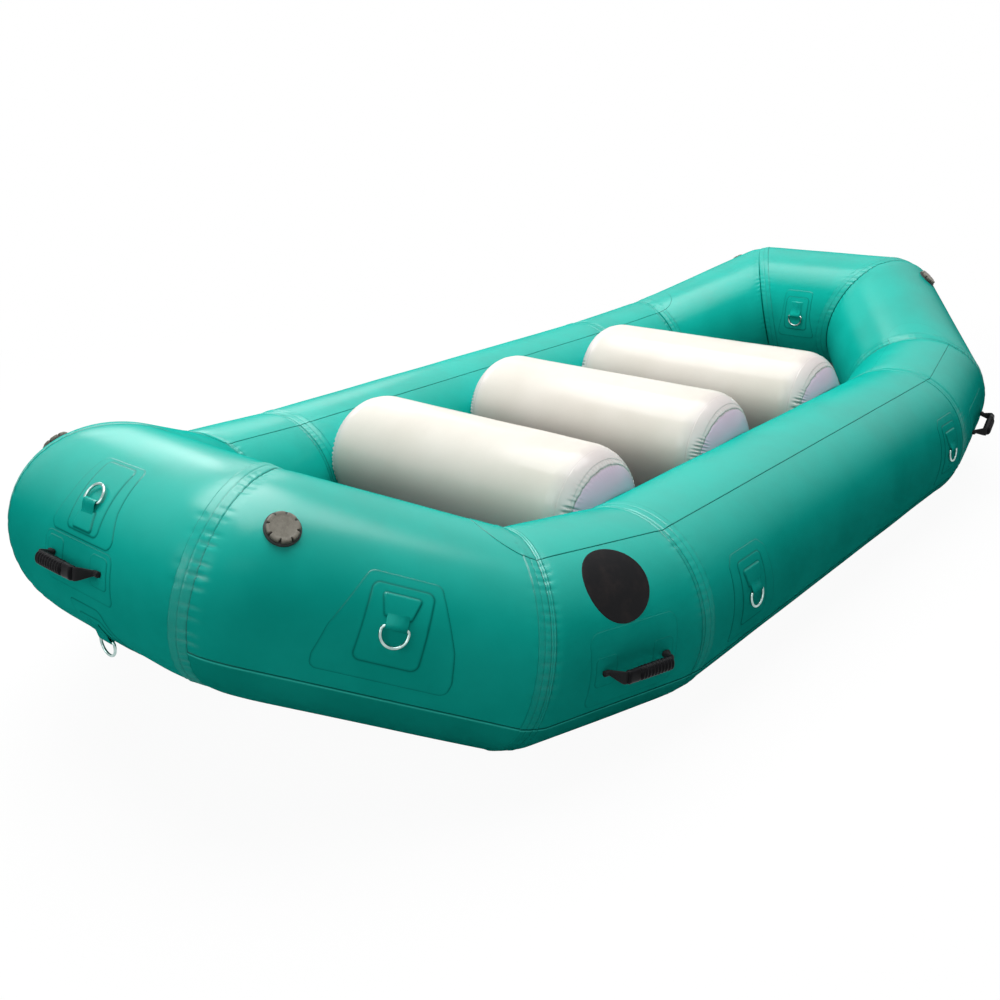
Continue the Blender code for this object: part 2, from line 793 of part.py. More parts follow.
def build_floor(tubes, fabric):
    floor = add_object("floor", floor_form(0, "floor", tubes), fabric)
    boolean(floor, add_cutter("floor_hollow", floor_form(FABRIC, "floor_hollow", tubes)))
    for valley in range(1, FLOOR_LOBES):
        web = add_cutter(f"floor_web_{valley}", floor_web(valley, tubes))
        boolean(floor, web, "UNION")
    top = floor_centre_z(FLOOR_VALVE_Y) + FLOOR_HALF_THICKNESS
    valve = Vector((0, FLOOR_VALVE_Y, top))
    boolean(floor, upright_cutter("floor_valve_hole", FLOOR_VALVE_RADIUS, OVERRUN * 2, valve))
    for side in (1, -1):
        boolean(floor, add_cutter(f"floor_flap_{side}", floor_flap(side, tubes)), "UNION")
        for i in range(DRAINS_PER_SIDE):
            y = (i - (DRAINS_PER_SIDE - 1) / 2) * DRAIN_PITCH
            outer = tube_reach_x(y, FLAP_Z, tubes)
            place = Vector((side * (flap_inner_x(y, tubes) + outer) / 2, y, FLAP_Z))
            boolean(floor, upright_cutter(f"drain_{side}_{i}", DRAIN_RADIUS, DRAIN_RADIUS, place, 8))
    mesh = weld(baked(floor, "floor"))
    floor.modifiers.clear()
    floor.data = mesh


def valve_body_mesh():
    """Flange and barrel with a spoked guide for the plunger's stem; z = 0 is the flange's seat."""
    top, edge = VALVE_FLANGE_THICKNESS, VALVE_FLANGE_EDGE
    profile = [
        (VALVE_BORE_RADIUS, top), (VALVE_FLANGE_RADIUS - edge, top), (VALVE_FLANGE_RADIUS, top - edge),
        (VALVE_FLANGE_RADIUS, 0), (VALVE_BARREL_RADIUS, 0), (VALVE_BARREL_RADIUS, -VALVE_DEPTH),
        (VALVE_BORE_RADIUS, -VALVE_DEPTH),
    ]
    body = add_cutter("valve_barrel", turned("valve_barrel", profile, VALVE_STEPS))
    inner = VALVE_STEM_RADIUS + RUNNING_GAP
    low, high = -VALVE_DEPTH, -VALVE_DEPTH + VALVE_GUIDE_HEIGHT
    hub_profile = [(inner, high), (VALVE_GUIDE_RADIUS, high), (VALVE_GUIDE_RADIUS, low), (inner, low)]
    hub = add_cutter("valve_hub", turned("valve_hub", hub_profile, STEM_STEPS))
    web = VALVE_GUIDE_HEIGHT / 2
    for turn in range(3):
        bm = bmesh.new()
        bmesh.ops.create_cube(bm, size=1.0)
        spoke = mesh_from_bmesh(bm, "valve_spoke")
        start = (inner + VALVE_GUIDE_RADIUS) / 2
        finish = (VALVE_BORE_RADIUS + VALVE_BARREL_RADIUS) / 2
        spoke.transform(Matrix.Diagonal((finish - start, VALVE_SPOKE_WIDTH, web, 1)))
        spoke.transform(Matrix.Translation(((start + finish) / 2, 0, low + web / 2 + GAP)))
        spoke.transform(Matrix.Rotation(turn * math.tau / 3, 4, "Z"))
        boolean(body, add_cutter(f"valve_spoke_{turn}", spoke), "UNION")
    boolean(body, hub, "UNION")
    return weld(baked(body, "valve_body"))


def valve_cap_mesh():
    """Dished cap with tool notches round its rim and a skirt that enters the bore."""
    low = VALVE_FLANGE_THICKNESS + GAP
    top = low + CAP_THICKNESS
    skirt_in = CAP_SKIRT_RADIUS - CAP_SKIRT_WALL
    skirt_low = low - CAP_SKIRT_DEPTH
    profile = [
        (0, top - CAP_DISH_DEPTH), (CAP_DISH_RADIUS - CAP_DISH_DEPTH, top - CAP_DISH_DEPTH),
        (CAP_DISH_RADIUS, top), (CAP_RADIUS - CAP_ROUND, top), (CAP_RADIUS, top - CAP_ROUND),
        (CAP_RADIUS, low), (CAP_SKIRT_RADIUS, low), (CAP_SKIRT_RADIUS, skirt_low),
        (skirt_in, skirt_low), (skirt_in, low), (0, low),
    ]
    cap = add_cutter("valve_cap_blank", turned("valve_cap_blank", profile, VALVE_STEPS))
    for i in range(CAP_NOTCHES):
        angle = math.tau * i / CAP_NOTCHES
        place = Vector((CAP_RADIUS * math.cos(angle), CAP_RADIUS * math.sin(angle), top))
        notch = upright_cutter(f"cap_notch_{i}", CAP_NOTCH_RADIUS, CAP_THICKNESS, place, 6)
        boolean(cap, notch)
    return weld(baked(cap, "valve_cap"))


def valve_plunger_mesh():
    """Sealing disc and stem that slide in the guide."""
    low = VALVE_FLANGE_THICKNESS + GAP - CAP_SKIRT_DEPTH - RUNNING_GAP
    disc = low - PLUNGER_THICKNESS
    tail = -VALVE_DEPTH - PLUNGER_TAIL
    profile = [
        (0, low), (PLUNGER_RADIUS, low), (PLUNGER_RADIUS, disc), (VALVE_STEM_RADIUS, disc),
        (VALVE_STEM_RADIUS, tail), (0, tail),
    ]
    return turned("valve_plunger", profile, VALVE_STEPS)


def valve_places(tubes):
    """Tube, distance along it and name of each of the four valves, near the nose joints."""
    places = []
    for end in ("bow", "stern"):
        for side in ("port", "starboard"):
            tube = tubes[f"{end}_{side}_diagonal_tube"]
            near_start = (end == "bow") == (side == "port")
            along = VALVE_INSET if near_start else tube.length - VALVE_INSET
            places.append((f"{end}_{side}", tube, along))
    return places


def frame_matrix(origin, across, along, normal):
    matrix = Matrix((across, along, normal)).transposed().to_4x4()
    matrix.translation = origin
    return matrix


def build_valves(tubes, plastic):
    body, cap, plunger = valve_body_mesh(), valve_cap_mesh(), valve_plunger_mesh()
    angle = math.radians(VALVE_ANGLE_DEG)
    for name, tube, along in valve_places(tubes):
        normal = tube.normal(angle)
        seat = tube.start + tube.along * along + normal * (TUBE_RADIUS + GAP)
        matrix = frame_matrix(seat, tube.along, normal.cross(tube.along), normal)
        for part, mesh in (("body", body), ("cap", cap), ("plunger", plunger)):
            made = add_object(f"{name}_valve_{part}", mesh, plastic)
            made.matrix_world = matrix
        radius = VALVE_BARREL_RADIUS + GAP
        hole = upright_cutter(f"{name}_valve_hole", radius, OVERRUN, Vector((0, 0, 0)), VALVE_STEPS)
        hole.matrix_world = matrix
        boolean(bpy.data.objects[tube.name], hole)


def ring_mesh(material):
    """D-ring as a bent wire: the bar on local X, the bow of the D towards local -Y."""
    curve = bpy.data.curves.new("d_ring", "CURVE")
    curve.dimensions = "3D"
    curve.bevel_depth = RING_WIRE_RADIUS
    curve.bevel_resolution = 1
    curve.render_resolution_u = 0
    points = [(-RING_HALF_WIDTH, 0), (RING_HALF_WIDTH, 0)]
    for i in range(RING_ARC_STEPS + 1):
        angle = -math.pi * i / RING_ARC_STEPS
        points.append((
            RING_HALF_WIDTH * math.cos(angle), -RING_LEG + RING_HALF_WIDTH * math.sin(angle)))
    spline = curve.splines.new("POLY")
    spline.points.add(len(points) - 1)
    for place, (x, y) in zip(spline.points, points):
        place.co = (x, y, 0, 1)
    spline.use_cyclic_u = True
    guide = bpy.data.objects.new("d_ring", curve)
    CUTTERS.objects.link(guide)
    mesh = weld(baked(guide, "d_ring"))
    bpy.data.objects.remove(guide, do_unlink=True)
    mesh.materials.append(material)
    return mesh


def loop_height():
    """Height of a ring's bar over the tube's true round surface."""
    loop = RING_WIRE_RADIUS + GAP + WEBBING_THICKNESS
    return GAP + PATCH_THICKNESS + loop


def webbing_tab_mesh(tube, angle, along, hang, name):
    """Webbing that lies up the patch, turns round the ring's bar and returns under itself."""
    bar = RING_WIRE_RADIUS + GAP
    outer = bar + WEBBING_THICKNESS
    height = loop_height()
    sink = PATCH_THICKNESS / 2

    def low_point(arc):
        turn = angle + hang * arc / TUBE_RADIUS
        base = tube.surface(turn, GAP + sink, along)
        offset = base - centre
        return offset.dot(uphill), offset.dot(normal)

    normal, uphill = tube.normal(angle), tube.uphill(angle) * hang
    centre = tube.start + tube.along * along + normal * (TUBE_RADIUS + height)
    tail = [low_point(TAIL_LENGTH * share) for share in TAIL_SHARES]
    loop = []
    for i in range(LOOP_STEPS + 1):
        turn = -math.pi / 2 - math.pi * i / LOOP_STEPS
        loop.append((outer * math.cos(turn), outer * math.sin(turn)))
    cover = []
    for share in COVER_SHARES:
        x, y = low_point(TAIL_LENGTH * share)
        lift = 2 * WEBBING_THICKNESS + sink + (outer * 2 - 2 * WEBBING_THICKNESS) * (1 - share) ** 2
        cover.append((x, y + lift))
    outline = tail + loop + cover
    curve = bpy.data.curves.new(name, "CURVE")
    curve.dimensions = "2D"
    curve.fill_mode = "BOTH"
    curve.extrude = WEBBING_WIDTH / 2
    hole = [(bar * math.cos(math.tau * i / LOOP_STEPS), bar * math.sin(math.tau * i / LOOP_STEPS))
            for i in range(LOOP_STEPS)]
    for points in (outline, hole):
        spline = curve.splines.new("POLY")
        spline.points.add(len(points) - 1)
        for place, (x, y) in zip(spline.points, points):
            place.co = (x, y, 0, 1)
        spline.use_cyclic_u = True
    guide = bpy.data.objects.new(name, curve)
    CUTTERS.objects.link(guide)
    guide.matrix_world = frame_matrix(centre, uphill, normal, uphill.cross(normal))
    bpy.context.view_layer.update()
    mesh = weld(baked(guide, name))
    bpy.data.objects.remove(guide, do_unlink=True)
    return mesh


def build_ring(tubes, spec, ring, fabric):
    """One D-ring on its webbing and patch: hang is 1 where the ring hangs below its bar."""
    name, tube_name, along, degrees, hang, upright, shares = spec
    tube, angle = tubes[tube_name], math.radians(degrees)
    below, above, low_half, high_half = [PATCH_SIZE * share for share in shares]
    low, high = angle - below / TUBE_RADIUS, angle + above / TUBE_RADIUS
    rows = trapezoid_rows(tube, along, low, high, low_half, high_half, PATCH_CORNER)
    plate = conforming_plate(tube, name + "_patch", rows, GAP, GAP + PATCH_THICKNESS)
    patch = add_object(name + "_patch", plate, fabric)
    tab = webbing_tab_mesh(tube, angle, along, hang, name + "_webbing")
    boolean(patch, add_cutter(name + "_webbing", tab), "UNION")
    bpy.context.view_layer.update()
    mesh = weld(baked(patch, name + "_patch"))
    patch.modifiers.clear()
    patch.data = mesh
    normal = tube.normal(angle)
    rest = Vector((0, 0, -1)) if upright else tube.uphill(angle) * -hang
    across = tube.along
    bar = tube.start + tube.along * along + normal * (TUBE_RADIUS + loop_height())
    made = add_object(name, ring)
    made.matrix_world = frame_matrix(bar, across, -rest, across.cross(-rest))


def ring_specs(tubes):
    """Name, tube, place along it, angle, way it hangs, whether straight down, patch shares."""
    diagonal = tubes["bow_port_diagonal_tube"].length
    side = tubes["port_side_tube"].length
    nose = tubes["bow_nose_tube"].length
    specs = [
        ("bow_top_ring", "bow_nose_tube", nose / 2, BOW_TOP_RING_DEG, -1, False, TOP_PATCH_SHARES),
        ("bow_tow_ring", "bow_nose_tube", nose / 2, BOW_TOW_RING_DEG, 1, True, TOW_PATCH_SHARES),
        ("stern_inner_ring", "stern_nose_tube", nose / 2, INNER_RING_DEG, -1, True,
         INNER_PATCH_SHARES),
    ]
    along = {"port": diagonal * RING_DIAGONAL_SHARE}
    along["starboard"] = diagonal - along["port"]
    for hand in ("port", "starboard"):
        specs.append((
            f"bow_{hand}_ring", f"bow_{hand}_diagonal_tube", along[hand], DIAGONAL_RING_DEG, 1,
            False, DIAGONAL_PATCH_SHARES))
        for place, share in (("fore", RING_FORE_SHARE), ("aft", RING_AFT_SHARE)):
            from_bow = side * share
            reach = from_bow if hand == "port" else side - from_bow
            specs.append((
                f"{hand}_{place}_ring", f"{hand}_side_tube", reach, SIDE_RING_DEG, 1, False,
                SIDE_PATCH_SHARES))
    return specs


def smooth_step(share):
    share = min(1.0, max(0.0, share))
    return share * share * (3 - 2 * share)


def handle_height(x):
    """Height of the strap's centre line over its hinge line at a distance along it."""
    share = (HANDLE_HALF_LENGTH - KNUCKLE_LENGTH - abs(x)) / HANDLE_SHOULDER
    return (HANDLE_STAND_OFF - KNUCKLE_RADIUS) * smooth_step(share)


def handle_places(shift):
    """Sections along the handle: place, half width, half thickness and how round it is."""
    end, knuckle = HANDLE_HALF_LENGTH, HANDLE_HALF_LENGTH - KNUCKLE_LENGTH
    places = [(x, KNUCKLE_RADIUS, KNUCKLE_RADIUS, 1.0) for x in (-end, -knuckle, knuckle, end)]
    for share in STRAP_SHARES:
        half = KNUCKLE_RADIUS + (STRAP_HALF_WIDTH - KNUCKLE_RADIUS) * share
        thick = KNUCKLE_RADIUS + (STRAP_HALF_THICKNESS - KNUCKLE_RADIUS) * share
        for side in (-1, 1):
            places.append((side * (knuckle - HANDLE_SHOULDER * share), half, thick, STRAP_ROUND_SHARE))
    low, high = shift - GRIP_HALF_LENGTH, shift + GRIP_HALF_LENGTH
    for x in (low - GRIP_LIP, high + GRIP_LIP):
        places.append((x, STRAP_HALF_WIDTH, STRAP_HALF_THICKNESS, STRAP_ROUND_SHARE))
    for i in range(2 * GRIP_RIBS + 1):
        x = low + (high - low) * i / (2 * GRIP_RIBS)
        rib = GRIP_RIB if i % 2 else 0
        places.append((x, GRIP_HALF_WIDTH + rib, GRIP_RADIUS + rib, 1.0))
    return sorted(places)


def handle_mesh(shift):
    """Strap with round knuckles at its ends and a ribbed grip threaded on it, along local X."""
    sections = []
    for x, half, thick, power in handle_places(shift):
        step = GAP
        slope = (handle_height(x + step) - handle_height(x - step)) / (2 * step)
        if abs(x) > HANDLE_HALF_LENGTH - KNUCKLE_LENGTH - step:
            slope = 0
        lean = Vector((-slope, 0, 1)).normalized()
        section = []
        for k in range(HANDLE_SIDES):
            turn = math.tau * k / HANDLE_SIDES
            across = math.copysign(abs(math.cos(turn)) ** power, math.cos(turn)) * half
            through = math.copysign(abs(math.sin(turn)) ** power, math.sin(turn)) * thick
            section.append(Vector((x, across, handle_height(x))) + lean * through)
        sections.append(section)
    return loft("handle", sections)


def handle_specs(tubes):
    kick = tubes["bow_port_kick_tube"].length
    nose = tubes["bow_nose_tube"].length
    along = kick * HANDLE_KICK_SHARE
    return [
        ("bow_handle", "bow_nose_tube", nose / 2, HANDLE_NOSE_DEG, -1),
        ("stern_handle", "stern_nose_tube", nose / 2, HANDLE_NOSE_DEG, 1),
        ("bow_port_handle", "bow_port_kick_tube", along, HANDLE_KICK_DEG, 1),
        ("bow_starboard_handle", "bow_starboard_kick_tube", kick - along, HANDLE_KICK_DEG, -1),
        ("stern_port_handle", "stern_port_kick_tube", kick - along, HANDLE_KICK_DEG, -1),
        ("stern_starboard_handle", "stern_starboard_kick_tube", along, HANDLE_KICK_DEG, 1),
    ]


def handle_patch(tube, along, angle, name):
    """Patch bonded on the tube under a handle, fused with the wall."""
    below, above = KICK_PATCH_BELOW, KICK_PATCH_ABOVE
    if "nose" in tube.name:
        below, above = NOSE_PATCH_BELOW, NOSE_PATCH_ABOVE
    half = HANDLE_PATCH_HALF_WIDTH
    rows = trapezoid_rows(
        tube, along, angle - below / TUBE_RADIUS, angle + above / TUBE_RADIUS, half, half,
        HANDLE_PATCH_CORNER)
    mesh = conforming_plate(tube, name, rows, -HANDLE_PATCH_SINK, HANDLE_PATCH_THICKNESS)
    boolean(bpy.data.objects[tube.name], add_cutter(name, mesh), "UNION")


def build_handles(tubes, rubber):
    meshes = {shift: handle_mesh(shift * GRIP_SHIFT) for shift in (-1, 1)}
    for name, tube_name, along, degrees, shift in handle_specs(tubes):
        tube, angle = tubes[tube_name], math.radians(degrees)
        handle_patch(tube, along, angle, f"{name}_patch")
        normal = tube.normal(angle)
        hinge = tube.surface(angle, HANDLE_PATCH_THICKNESS, along) + normal * (GAP + KNUCKLE_RADIUS)
        made = add_object(name, meshes[shift], rubber)
        made.matrix_world = frame_matrix(hinge, tube.along, normal.cross(tube.along), normal)


def bake_tubes(tubes, fabric):
    """Turn each tube's cuts and bonded pads into its mesh."""
    bpy.context.view_layer.update()
    for tube in tubes.values():
        body = bpy.data.objects[tube.name]
        if body.modifiers:
            mesh = weld(baked(body, tube.name))
            body.modifiers.clear()
            body.data = mesh


def build_raft():
    global PARTS, CUTTERS
    clear_scene()
    PARTS = make_collection("whitewater_raft")
    CUTTERS = make_collection("cutters")
    tubes = ring_tubes()
    fabric = tube_fabric()
    build_tubes(tubes, fabric)
    build_baffles(tubes, inner_fabric())
    build_strips(tubes, strip_fabric())
    build_thwarts(tubes, thwart_fabric())
    build_floor(tubes, floor_fabric())
    build_valves(tubes, valve_plastic())
    ring = ring_mesh(ring_steel())
    for spec in ring_specs(tubes):
        build_ring(tubes, spec, ring, fabric)
    build_handles(tubes, strap_rubber())
    bake_tubes(tubes, fabric)


build_raft()
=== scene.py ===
# %% [markdown]
# # Whitewater raft
# A whitewater raft is a ring of air tubes with thwarts across it, a floor of air lobes, and rings,
# handles and valves bonded on. This lesson dresses the packed solids of such a raft, one kind of
# piece at a time. Lengths are in metres. +X is port, -Y is the bow and +Z is up.
#
# The solids give every place and every joint. Most steps swap some of them for a finer skin. What
# no skin stands for, such as the inner parts of the valves, stays a solid and gets a material.

import math

import bmesh
import bpy
import numpy as np
from mathutils import Matrix, Vector


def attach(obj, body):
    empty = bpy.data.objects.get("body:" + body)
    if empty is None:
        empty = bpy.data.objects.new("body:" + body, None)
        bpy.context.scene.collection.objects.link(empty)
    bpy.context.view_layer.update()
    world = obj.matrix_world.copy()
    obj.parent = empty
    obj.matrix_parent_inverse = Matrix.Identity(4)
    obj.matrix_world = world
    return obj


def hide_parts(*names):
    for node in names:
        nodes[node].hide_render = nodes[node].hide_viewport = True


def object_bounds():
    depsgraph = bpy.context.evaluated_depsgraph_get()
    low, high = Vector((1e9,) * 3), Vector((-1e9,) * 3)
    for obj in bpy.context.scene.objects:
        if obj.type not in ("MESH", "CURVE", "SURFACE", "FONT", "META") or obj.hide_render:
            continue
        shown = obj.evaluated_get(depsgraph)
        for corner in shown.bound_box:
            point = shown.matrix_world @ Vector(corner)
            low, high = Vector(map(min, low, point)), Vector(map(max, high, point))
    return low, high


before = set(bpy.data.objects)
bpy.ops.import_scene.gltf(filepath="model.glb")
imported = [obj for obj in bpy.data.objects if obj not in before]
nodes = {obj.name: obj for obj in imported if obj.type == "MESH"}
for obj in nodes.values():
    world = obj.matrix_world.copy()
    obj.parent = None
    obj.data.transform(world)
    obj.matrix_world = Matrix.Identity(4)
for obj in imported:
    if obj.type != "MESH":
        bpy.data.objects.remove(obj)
cad_box = [list(corner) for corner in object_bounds()]
print(len(nodes), "solids, box", [[round(x, 3) for x in corner] for corner in cad_box])

# %% [markdown]
# ## Sizes
# A raft is drawn round one line, the axis of its ring, which has twelve bends. Strips, thwarts and
# floor all follow from that line and the tubes' radius. The sizes could be measured on the solids,
# but plain numbers at the top are easier to read, and they are the lengths that the solids have.

# %% Sizes
RADIUS = 0.255
FABRIC_GAP = 0.0003  # kept between two solids
STRIP = 0.0015  # thickness of a wear strip
FACETS = 32  # flat sides of a solid tube
COLUMNS = 384  # points round the skin of a tube
SIDE_X, SIDE_END_Y = 0.709, 0.883
KICK_END_X, KICK_END_Y, KICK_RISE = 0.630, 1.291, 0.042
NOSE_END_X, NOSE_Y, NOSE_RISE = 0.271, 1.719, 0.257
SIDE_Z = (RADIUS + FABRIC_GAP + STRIP) * math.cos(math.pi / FACETS)
MM = 0.001
UP = np.array((0.0, 0.0, 1.0))


def unit(v):
    return v / np.linalg.norm(v)


def smooth(x):
    """An S-curve from 0 to 1."""
    x = np.clip(x, 0, 1)
    return x * x * (3 - 2 * x)


def dip(x, width):
    """A bell of height 1 round 0."""
    return np.exp(-(x / width) ** 2)


print("tubes", 2 * RADIUS, "across, axis of the sides", round(SIDE_Z, 4), "high")

# %% [markdown]
# ## Mesh helpers
# Coated fabric under pressure is one smooth skin with seams a millimetre or two high. A cage with a
# Subdivision Surface would wash those seams out, and a Displace modifier would need a fine mesh
# anyway. So numpy works out a grid of points, and these helpers make quads of it, with a UV map in
# metres. Named values on the points tell the materials where glue, tone, painted light or gloss
# lies. A closed solid has its faces turned outwards, because a mirrored or turned path leaves them
# inside out.

# %% Mesh helpers
def grid_cells(rows, cols, closed):
    i, j = np.meshgrid(np.arange(rows - 1), np.arange(cols if closed else cols - 1), indexing="ij")
    i, j = i.ravel(), j.ravel()

    def corners(width, k):
        return np.stack([i * width + j, (i + 1) * width + j, (i + 1) * width + k, i * width + k], 1)

    if closed:
        return corners(cols, (j + 1) % cols), corners(cols + 1, j + 1)
    return corners(cols, j + 1), corners(cols, j + 1)


def mark(mesh, **values):
    """Names values on the points of a mesh, which a material reads as an attribute."""
    for key, v in values.items():
        layer = mesh.attributes.new(key, "FLOAT", "POINT")
        layer.data.foreach_set("value", np.asarray(v, np.float32).ravel())


def unwrap(mesh, uv):
    """A UV map from one place for each point."""
    index = np.zeros(len(mesh.loops), np.int32)
    mesh.loops.foreach_get("vertex_index", index)
    mesh.uv_layers.new(name="UVMap").data.foreach_set("uv", uv[index].astype(np.float32).ravel())


def grid_mesh(name, points, uv=None, closed=False, keep=None, flip=False, **values):
    """points is rows x columns x 3; keep marks the points that a face may use."""
    rows, cols = points.shape[:2]
    faces, uv_faces = grid_cells(rows, cols, closed)
    if flip:
        faces, uv_faces = faces[:, ::-1], uv_faces[:, ::-1]
    points = points.reshape(-1, 3)
    values = {key: np.asarray(v, float).reshape(-1) for key, v in values.items()}
    if keep is not None:
        used = keep.reshape(-1)[faces].any(1)
        faces, uv_faces = faces[used], uv_faces[used]
        live = np.unique(faces)
        number = np.zeros(len(points), int)
        number[live] = np.arange(len(live))
        faces, points = number[faces], points[live]
        values = {key: v[live] for key, v in values.items()}
    mesh = bpy.data.meshes.new(name)
    mesh.vertices.add(len(points))
    mesh.vertices.foreach_set("co", points.astype(np.float32).ravel())
    mesh.loops.add(faces.size)
    mesh.loops.foreach_set("vertex_index", faces.ravel().astype(np.int32))
    mesh.polygons.add(len(faces))
    mesh.polygons.foreach_set("loop_start", np.arange(0, faces.size, 4, dtype=np.int32))
    mesh.update(calc_edges=True)
    if uv is not None:
        layer = mesh.uv_layers.new(name="UVMap")
        layer.data.foreach_set("uv", uv.reshape(-1, 2)[uv_faces].astype(np.float32).ravel())
    mark(mesh, **values)
    mesh.shade_smooth()
    return mesh


print("grids of quads ready")


# %% Closed skins and pieces
def faced_out(shell, mesh):
    """Turns the faces of closed shells outwards and gives them to a mesh."""
    bmesh.ops.recalc_face_normals(shell, faces=shell.faces)
    shell.to_mesh(mesh)
    shell.free()
    return mesh


def skinned(name, rings, capped=True):
    """A run of closed rings of points skinned to a solid, with a face over each end."""
    rings = np.asarray(rings, float)
    n, m = rings.shape[:2]
    faces = grid_cells(n, m, True)[0].tolist()
    if capped:
        faces += [list(range(m)), list(range(n * m - 1, n * m - m - 1, -1))]
    mesh = bpy.data.meshes.new(name)
    mesh.from_pydata(rings.reshape(-1, 3).tolist(), [], faces)
    shell = bmesh.new()
    shell.from_mesh(mesh)
    faced_out(shell, mesh)
    mesh.shade_smooth()
    mesh.set_sharp_from_angle(angle=math.radians(50))
    return mesh


def add_piece(name, mesh, material, body, replaces=()):
    """An object of the mesh, which rides a body, wears a fabric slot and stands for nodes."""
    piece = bpy.data.objects.new(name, mesh)
    bpy.context.scene.collection.objects.link(piece)
    mesh.materials.clear()
    mesh.materials.append(material)
    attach(piece, body)
    if replaces:
        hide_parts(*replaces)
    return piece


print("skins and pieces ready")

# %% [markdown]
# ## Shader maths
# A material is a tree of nodes. It could be wired by hand in the Shader Editor, but in a script the
# wires are hard to follow. So `Value` stands for one output, and `1 - mask` adds a Math node by
# itself. `Tree.node` makes every node from its type, its settings and what its sockets get. The
# geometry nodes and the sky further down are built with the same method.

# %% Shader maths
def sign(operation, swapped=False):
    """What an arithmetic sign does to a Value, with its two sides swapped for `1 - mask`."""
    def reckon(self, other):
        sides = (other, self) if swapped else (self, other)
        return self.tree.node("ShaderNodeMath", {"operation": operation}, dict(enumerate(sides)))
    return reckon


class Value:
    """The output of a node, to reckon with as with a number."""

    def __init__(self, tree, socket):
        self.tree, self.socket = tree, socket

    __add__, __radd__ = sign("ADD"), sign("ADD", True)
    __sub__, __rsub__ = sign("SUBTRACT"), sign("SUBTRACT", True)
    __mul__, __rmul__ = sign("MULTIPLY"), sign("MULTIPLY", True)
    __pow__, __rpow__ = sign("POWER"), sign("POWER", True)

    def at_least(self, other):
        return sign("MAXIMUM")(self, other)

    def waves(self, period):
        turns = self * (math.tau / period)
        return self.tree.node("ShaderNodeMath", {"operation": "SINE"}, {0: turns})

    def above(self, low, high):
        """0 under low, 1 over high and smooth between."""
        return self.tree.node("ShaderNodeMapRange", {"interpolation_type": "SMOOTHSTEP"},
                              {"Value": self, "From Min": low, "From Max": high}, "Result")


class Tree:
    """A node tree under construction: a material, a geometry group or the sky."""

    def __init__(self, data):
        self.data = data

    def feed(self, slot, item):
        if isinstance(item, Value):
            self.data.links.new(item.socket, slot)
        else:
            slot.default_value = (*item, 1.0) if slot.type == "RGBA" else item

    def node(self, kind, settings=(), sockets=(), out=0):
        """A node with its settings made first, then its sockets' values or links; its output."""
        made = self.data.nodes.new(kind)
        for key, item in dict(settings).items():
            setattr(made, key, item)
        for key, item in dict(sockets).items():
            self.feed(made.inputs[key], item)
        return Value(self, made.outputs[out]) if made.outputs else made


print("values and trees ready")


# %% Finish of a piece
class Finish(Tree):
    """A Principled material under construction."""

    def __init__(self, name):
        self.material = bpy.data.materials.new(name)
        self.material.use_nodes = True
        super().__init__(self.material.node_tree)
        self.shader = self.data.nodes["Principled BSDF"]

    def place(self, output="Object"):
        return self.node("ShaderNodeTexCoord", out=output)

    def parts(self, vector):
        first = self.node("ShaderNodeSeparateXYZ", sockets={0: vector})
        return [Value(self, out) for out in first.socket.node.outputs]

    def vector(self, *items):
        return self.node("ShaderNodeCombineXYZ", sockets=dict(enumerate(items)))

    def attribute(self, name):
        return self.node("ShaderNodeAttribute", {"attribute_name": name}, out="Fac")

    def facing(self):
        """1 where the surface is seen square on, 0 where it is seen edge on."""
        return 1 - self.node("ShaderNodeLayerWeight", out="Facing")

    def noise(self, vector, scale, detail, roughness):
        sockets = {"Vector": vector, "Scale": scale, "Detail": detail, "Roughness": roughness}
        return self.node("ShaderNodeTexNoise", sockets=sockets, out="Fac")

    def mix(self, share, first, second):
        return self.node("ShaderNodeMix", {"data_type": "RGBA"}, {0: share, 6: first, 7: second}, 2)

    def bump(self, height, distance):
        bumps = self.node("ShaderNodeBump", sockets={"Height": height, "Distance": distance})
        self.feed(self.shader.inputs["Normal"], bumps)

    def set(self, **sockets):
        for key, item in sockets.items():
            self.feed(self.shader.inputs[key.replace("_", " ")], item)
        return self.material


print("a finish knows", ", ".join(key for key in vars(Finish) if not key.startswith("_")))

# %% [markdown]
# ## Coated fabric
# The hull fabric is a woven scrim under a satin rubber skin. Sun and sand leave it cloudy, with
# fine scuffs, and a darker line of glue shows along each tape and patch. A photograph of fabric
# would be quick, but it repeats and stretches. Noise on Object coordinates never repeats, the
# weave follows each piece's UV map, and the glue comes from the value `line` on the points.

# %% Coated fabric
def coated(name, light, deep, roughness, scrim=0.35, painted_highlight=None):
    f = Finish(name)
    where = f.place()
    u, v, _ = f.parts(f.place("UV"))
    cloud = f.noise(where, 5.0, 4.0, 0.55)
    fine = f.noise(where, 90.0, 3.0, 0.6)
    colour = f.mix(cloud.above(0.3, 0.7), deep, light)
    # Painted highlight: where the mesh gives a share of painted light, the colour turns to a
    # lighter one; the rub strip uses it for a light line by its upper edge.
    if painted_highlight:
        colour = f.mix(f.attribute("shade"), colour, painted_highlight)
    scuffs = f.noise(f.vector(u * 3.0, v * 40.0, 0.0), 6.0, 5.0, 0.7).above(0.62, 0.8)
    scuffed = tuple(min(1.0, c * 1.2 + 0.02) for c in light)
    colour = f.mix(scuffs * 0.08, colour, scuffed)
    colour = f.mix(f.attribute("line") * 0.75, colour, tuple(c * 0.25 for c in deep))
    weave = u.waves(1.6 * MM) * v.waves(1.6 * MM)
    f.bump(weave * scrim + fine * 1.6 + cloud * 3.0, 0.05 * MM)
    upward = f.parts(f.place("Normal"))[2]
    polish = upward.above(0.40, 1.0) * (1.25 - cloud * 0.5) * f.facing().above(0.0, 0.55)
    return f.set(
        Base_Color=colour, Roughness=fine * 0.16 + cloud * 0.12 + (roughness - 0.12),
        Coat_Weight=polish.at_least(f.attribute("tape")), Coat_Roughness=0.27,
        Specular_IOR_Level=0.0)


